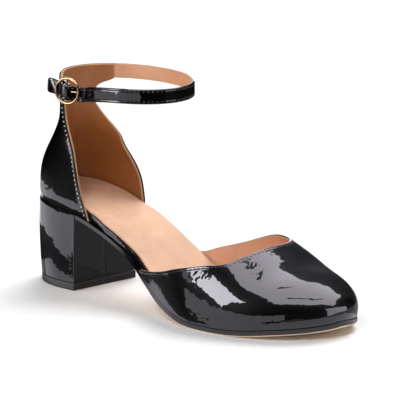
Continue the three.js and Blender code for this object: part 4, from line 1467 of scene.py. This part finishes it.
# What the gloss sees: a pale floor close to the shoe, then darkness, and these lit cards, in metres.
# Each has its brightness and its corners. They stand where the photo's reflections come from.
CARDS = {
    "card above": (5.2, [
        (-0.6, 0.9, 1.2), (-0.15, -0.2, 1.2), (0.0, -0.42, 1.2), (0.12, -0.78, 1.2), (0.25, -0.86, 1.2),
        (0.45, -1.05, 1.2), (0.62, -1.38, 1.2), (0.8, -1.62, 1.2), (1.0, -1.68, 1.2), (1.1, -1.45, 1.2),
        (1.25, -0.75, 1.2), (1.18, -0.2, 1.2), (1.2, 0.15, 1.2), (1.45, 0.55, 1.2), (1.85, 0.82, 1.2),
        (1.55, 1.02, 1.2), (1.0, 0.98, 1.2), (0.8, 1.18, 1.2), (0.5, 1.42, 1.2), (0.2, 1.6, 1.2),
        (0.0, 1.5, 1.2), (-0.02, 1.0, 1.2), (-0.05, 0.72, 1.2), (-0.3, 0.75, 1.2),
    ]),
    "boom across": (0.0, [
        (0.59, -0.45, 1.19), (0.68, -0.45, 1.19), (0.73, 0, 1.19), (0.7, 0.46, 1.19), (0.62, 0.46, 1.19),
        (0.66, 0, 1.19),
    ]),
    "boom head": (0.0, [(0.06, 0.11, 1.19), (0.11, -0.09, 1.19), (0.14, 0.16, 1.19), (0.09, 0.34, 1.19)]),
    "card left": (13.0, [(-0.39, -0.8, 0.13), (-0.21, -0.8, 0.72), (0.14, -0.8, 0.28), (-0.1, -0.8, -0.02)]),
    "card beside the heel": (1.85, [
        (-0.12, -0.1, 0), (-0.04, -0.1, 0), (-0.04, -0.1, 0.03), (-0.12, -0.1, 0.034),
    ]),
    "card behind the heel": (1.85, [
        (-0.165, -0.04, 0), (-0.12, -0.1, 0), (-0.12, -0.1, 0.034), (-0.165, -0.04, 0.036),
    ]),
    "card back of the heel": (1.2, [
        (-0.165, 0.1, 0), (-0.165, -0.04, 0), (-0.165, -0.04, 0.036), (-0.165, 0.1, 0.03),
    ]),
    "card ahead": (3.4, [(0.3, 0.004, -0.01), (0.3, 0.13, -0.01), (0.3, 0.13, 0.045), (0.3, 0.004, 0.066)]),
    "card left wing": (1.2, [
        (-0.62, -0.8, 0.06), (-0.43, -0.8, 0.08), (-0.4, -0.8, 0.26), (-0.62, -0.8, 0.3),
    ]),
    "card far left": (1.3, [
        (-2.9, -3, -0.8), (-1.5, -3, -0.85), (2.4, -3, -0.95), (2.4, -3, -0.24), (-2.9, -3, -0.24),
    ]),
    "card behind": (5.0, [(-0.9, 0.5, 0.05), (-0.5, 0.9, 0.05), (-0.5, 0.9, 0.6), (-0.9, 0.5, 0.6)]),
    "floor outside": (1.25, [
        (-0.06, -0.052, 0.0004), (0.14, -0.052, 0.0004), (0.175, -0.066, 0.0004), (0.212, -0.045, 0.0004),
        (0.243, -0.01, 0.0004), (0.245, 0.05, 0.0004), (0.2, 0.05, 0.0004), (0.2, -0.01, 0.0004),
        (0.15, -0.035, 0.0004), (-0.02, -0.024, 0.0004), (-0.06, -0.024, 0.0004),
    ]),
    "floor beyond": (0.38, [
        (-0.1, 0.02, 0.0002), (0.4, 0.02, 0.0002), (0.4, 0.5, 0.0002), (-0.1, 0.5, 0.0002),
    ]),
    "card beyond": (0.04, [(-0.9, 1.2, 0), (0.3, 1.2, 0), (0.3, 1.2, 1.3), (-0.9, 1.2, 1.3)]),
}


def flat_sheet(name, corners, material):
    """A flat sheet of the stage, in metres."""
    mesh = bpy.data.meshes.new(name)
    mesh.from_pydata(corners, [], [tuple(range(len(corners)))])
    mesh.materials.append(material)
    sheet = bpy.data.objects.new(name, mesh)
    bpy.context.scene.collection.objects.link(sheet)
    return sheet


def only_in_gloss(sheet):
    """Hides a sheet from all but the reflections."""
    sheet.visible_camera = False
    sheet.visible_diffuse = False
    sheet.visible_shadow = False
    sheet.visible_transmission = False


def reflector(name, corners, strength):
    """A lit card that only shows as a reflection."""
    material, tree, _ = new_material(name)
    show(tree, add_node(tree, "ShaderNodeEmission", inputs={"Color": linear(0xF9F6FF), "Strength": strength}))
    only_in_gloss(flat_sheet(name, corners, material))


def soft_box(name, place, aim, width, height, power):
    """An area light at a place in metres, turned to a point."""
    light = bpy.data.lights.new(name, "AREA")
    light.shape = "RECTANGLE"
    light.size = width
    light.size_y = height
    light.energy = power
    lamp = bpy.data.objects.new(name, light)
    bpy.context.scene.collection.objects.link(lamp)
    lamp.location = place
    lamp.rotation_mode = "QUATERNION"
    lamp.rotation_quaternion = (Vector(aim) - Vector(place)).to_track_quat("-Z", "Y")
    lamp.visible_glossy = False
    lamp.visible_camera = False


class PUMP_OT_stage(bpy.types.Operator):
    """Make the pale floor, the soft lights and the camera"""

    bl_idname = "pump.stage"
    bl_label = "Stage"

    def execute(self, context):
        scene = context.scene
        stage = scene.pump_stage
        scene.view_settings.view_transform = "Standard"
        paper, tree, place = new_material("seamless paper, matt white")
        grain = add_node(tree, "ShaderNodeTexNoise", inputs={
            "Vector": (place, "Object"), "Scale": per(1.5), "Detail": 2.0,
        })
        bump = add_node(tree, "ShaderNodeBump", inputs={
            "Height": (grain, 0), "Strength": 0.1, "Distance": 0.05 * MM,
        })
        shader = add_node(tree, "ShaderNodeBsdfPrincipled", inputs={
            "Base Color": stage.paper, "Roughness": 0.9, "Specular IOR Level": 0.1, "Normal": (bump, 0),
        })
        show(tree, shader)
        floor = flat_sheet("floor", [(-8, -8, 0), (8, -8, 0), (8, 8, 0), (-8, 8, 0)], paper)
        floor.visible_glossy = False
        corners = [(-0.06, -0.052, 0), (0.232, -0.052, 0), (0.232, 0.02, 0), (-0.06, 0.02, 0)]
        only_in_gloss(flat_sheet("floor_in_gloss", corners, paper))
        world = bpy.data.worlds.new("studio air")
        scene.world = world
        world.use_nodes = True
        air = world.node_tree.nodes["Background"]
        air.inputs[0].default_value = linear(0xFFFFFF)
        air.inputs[1].default_value = stage.air
        world.cycles_visibility.glossy = False
        for name, (strength, corners) in CARDS.items():
            reflector(name, corners, strength * stage.cards)
        sun = bpy.data.lights.new("soft sun", "SUN")
        sun.energy = stage.sun
        sun.angle = 42 * DEGREES
        lamp = bpy.data.objects.new("soft sun", sun)
        scene.collection.objects.link(lamp)
        lamp.rotation_euler = (-38 * DEGREES, -16 * DEGREES, 0)
        lamp.visible_glossy = False
        soft_box("light left", (-0.5, -1.1, 0.8), (0.1, 0, 0.05), 0.6, 0.6, 5)
        soft_box("light ahead", (0.5, -0.9, 1.0), (0, 0, 0.1), 0.4, 0.4, 5)
        camera = bpy.data.objects.new("camera", bpy.data.cameras.new("camera"))
        scene.collection.objects.link(camera)
        camera.data.sensor_width = 36.0
        camera.data.lens = stage.lens
        camera.data.clip_start = 0.05
        camera.data.clip_end = 30
        camera.location = stage.eye
        camera.rotation_mode = "QUATERNION"
        camera.rotation_quaternion = (Vector(stage.aim) - Vector(stage.eye)).to_track_quat("-Z", "Y")
        scene.camera = camera
        return {"FINISHED"}


class PUMP_PT_panel(bpy.types.Panel):
    """Lists the pieces in the order that a maker would add them"""

    bl_idname = "PUMP_PT_panel"
    bl_label = "Block heel pump"
    bl_space_type = "VIEW_3D"
    bl_region_type = "UI"
    bl_category = "Pump"

    def draw(self, context):
        for operator in OPERATORS:
            self.layout.operator(operator.bl_idname)
        for name, group in GROUPS.items():
            box = self.layout.box()
            for prop in group.__annotations__:
                box.prop(getattr(context.scene, name), prop)


OPERATORS = (
    PUMP_OT_stage,
    PUMP_OT_outsole,
    PUMP_OT_insole,
    PUMP_OT_vamp,
    PUMP_OT_quarter,
    PUMP_OT_heel,
    PUMP_OT_strap,
    PUMP_OT_buckle,
)
CLASSES = (PumpSizes, PumpColours, PumpStage, *OPERATORS, PUMP_PT_panel)
GROUPS = {"pump_sizes": PumpSizes, "pump_colours": PumpColours, "pump_stage": PumpStage}


def register():
    for kind in CLASSES:
        bpy.utils.register_class(kind)
    for name, group in GROUPS.items():
        setattr(bpy.types.Scene, name, PointerProperty(type=group))


def unregister():
    for name in GROUPS:
        delattr(bpy.types.Scene, name)
    for kind in reversed(CLASSES):
        bpy.utils.unregister_class(kind)


def main():
    """Makes every piece in order."""
    register()
    bpy.ops.pump.stage()
    bpy.ops.pump.outsole()
    bpy.ops.pump.insole()
    bpy.ops.pump.vamp()
    bpy.ops.pump.quarter()
    bpy.ops.pump.heel()
    bpy.ops.pump.strap()
    bpy.ops.pump.buckle()


if __name__ == "__main__":
    main()
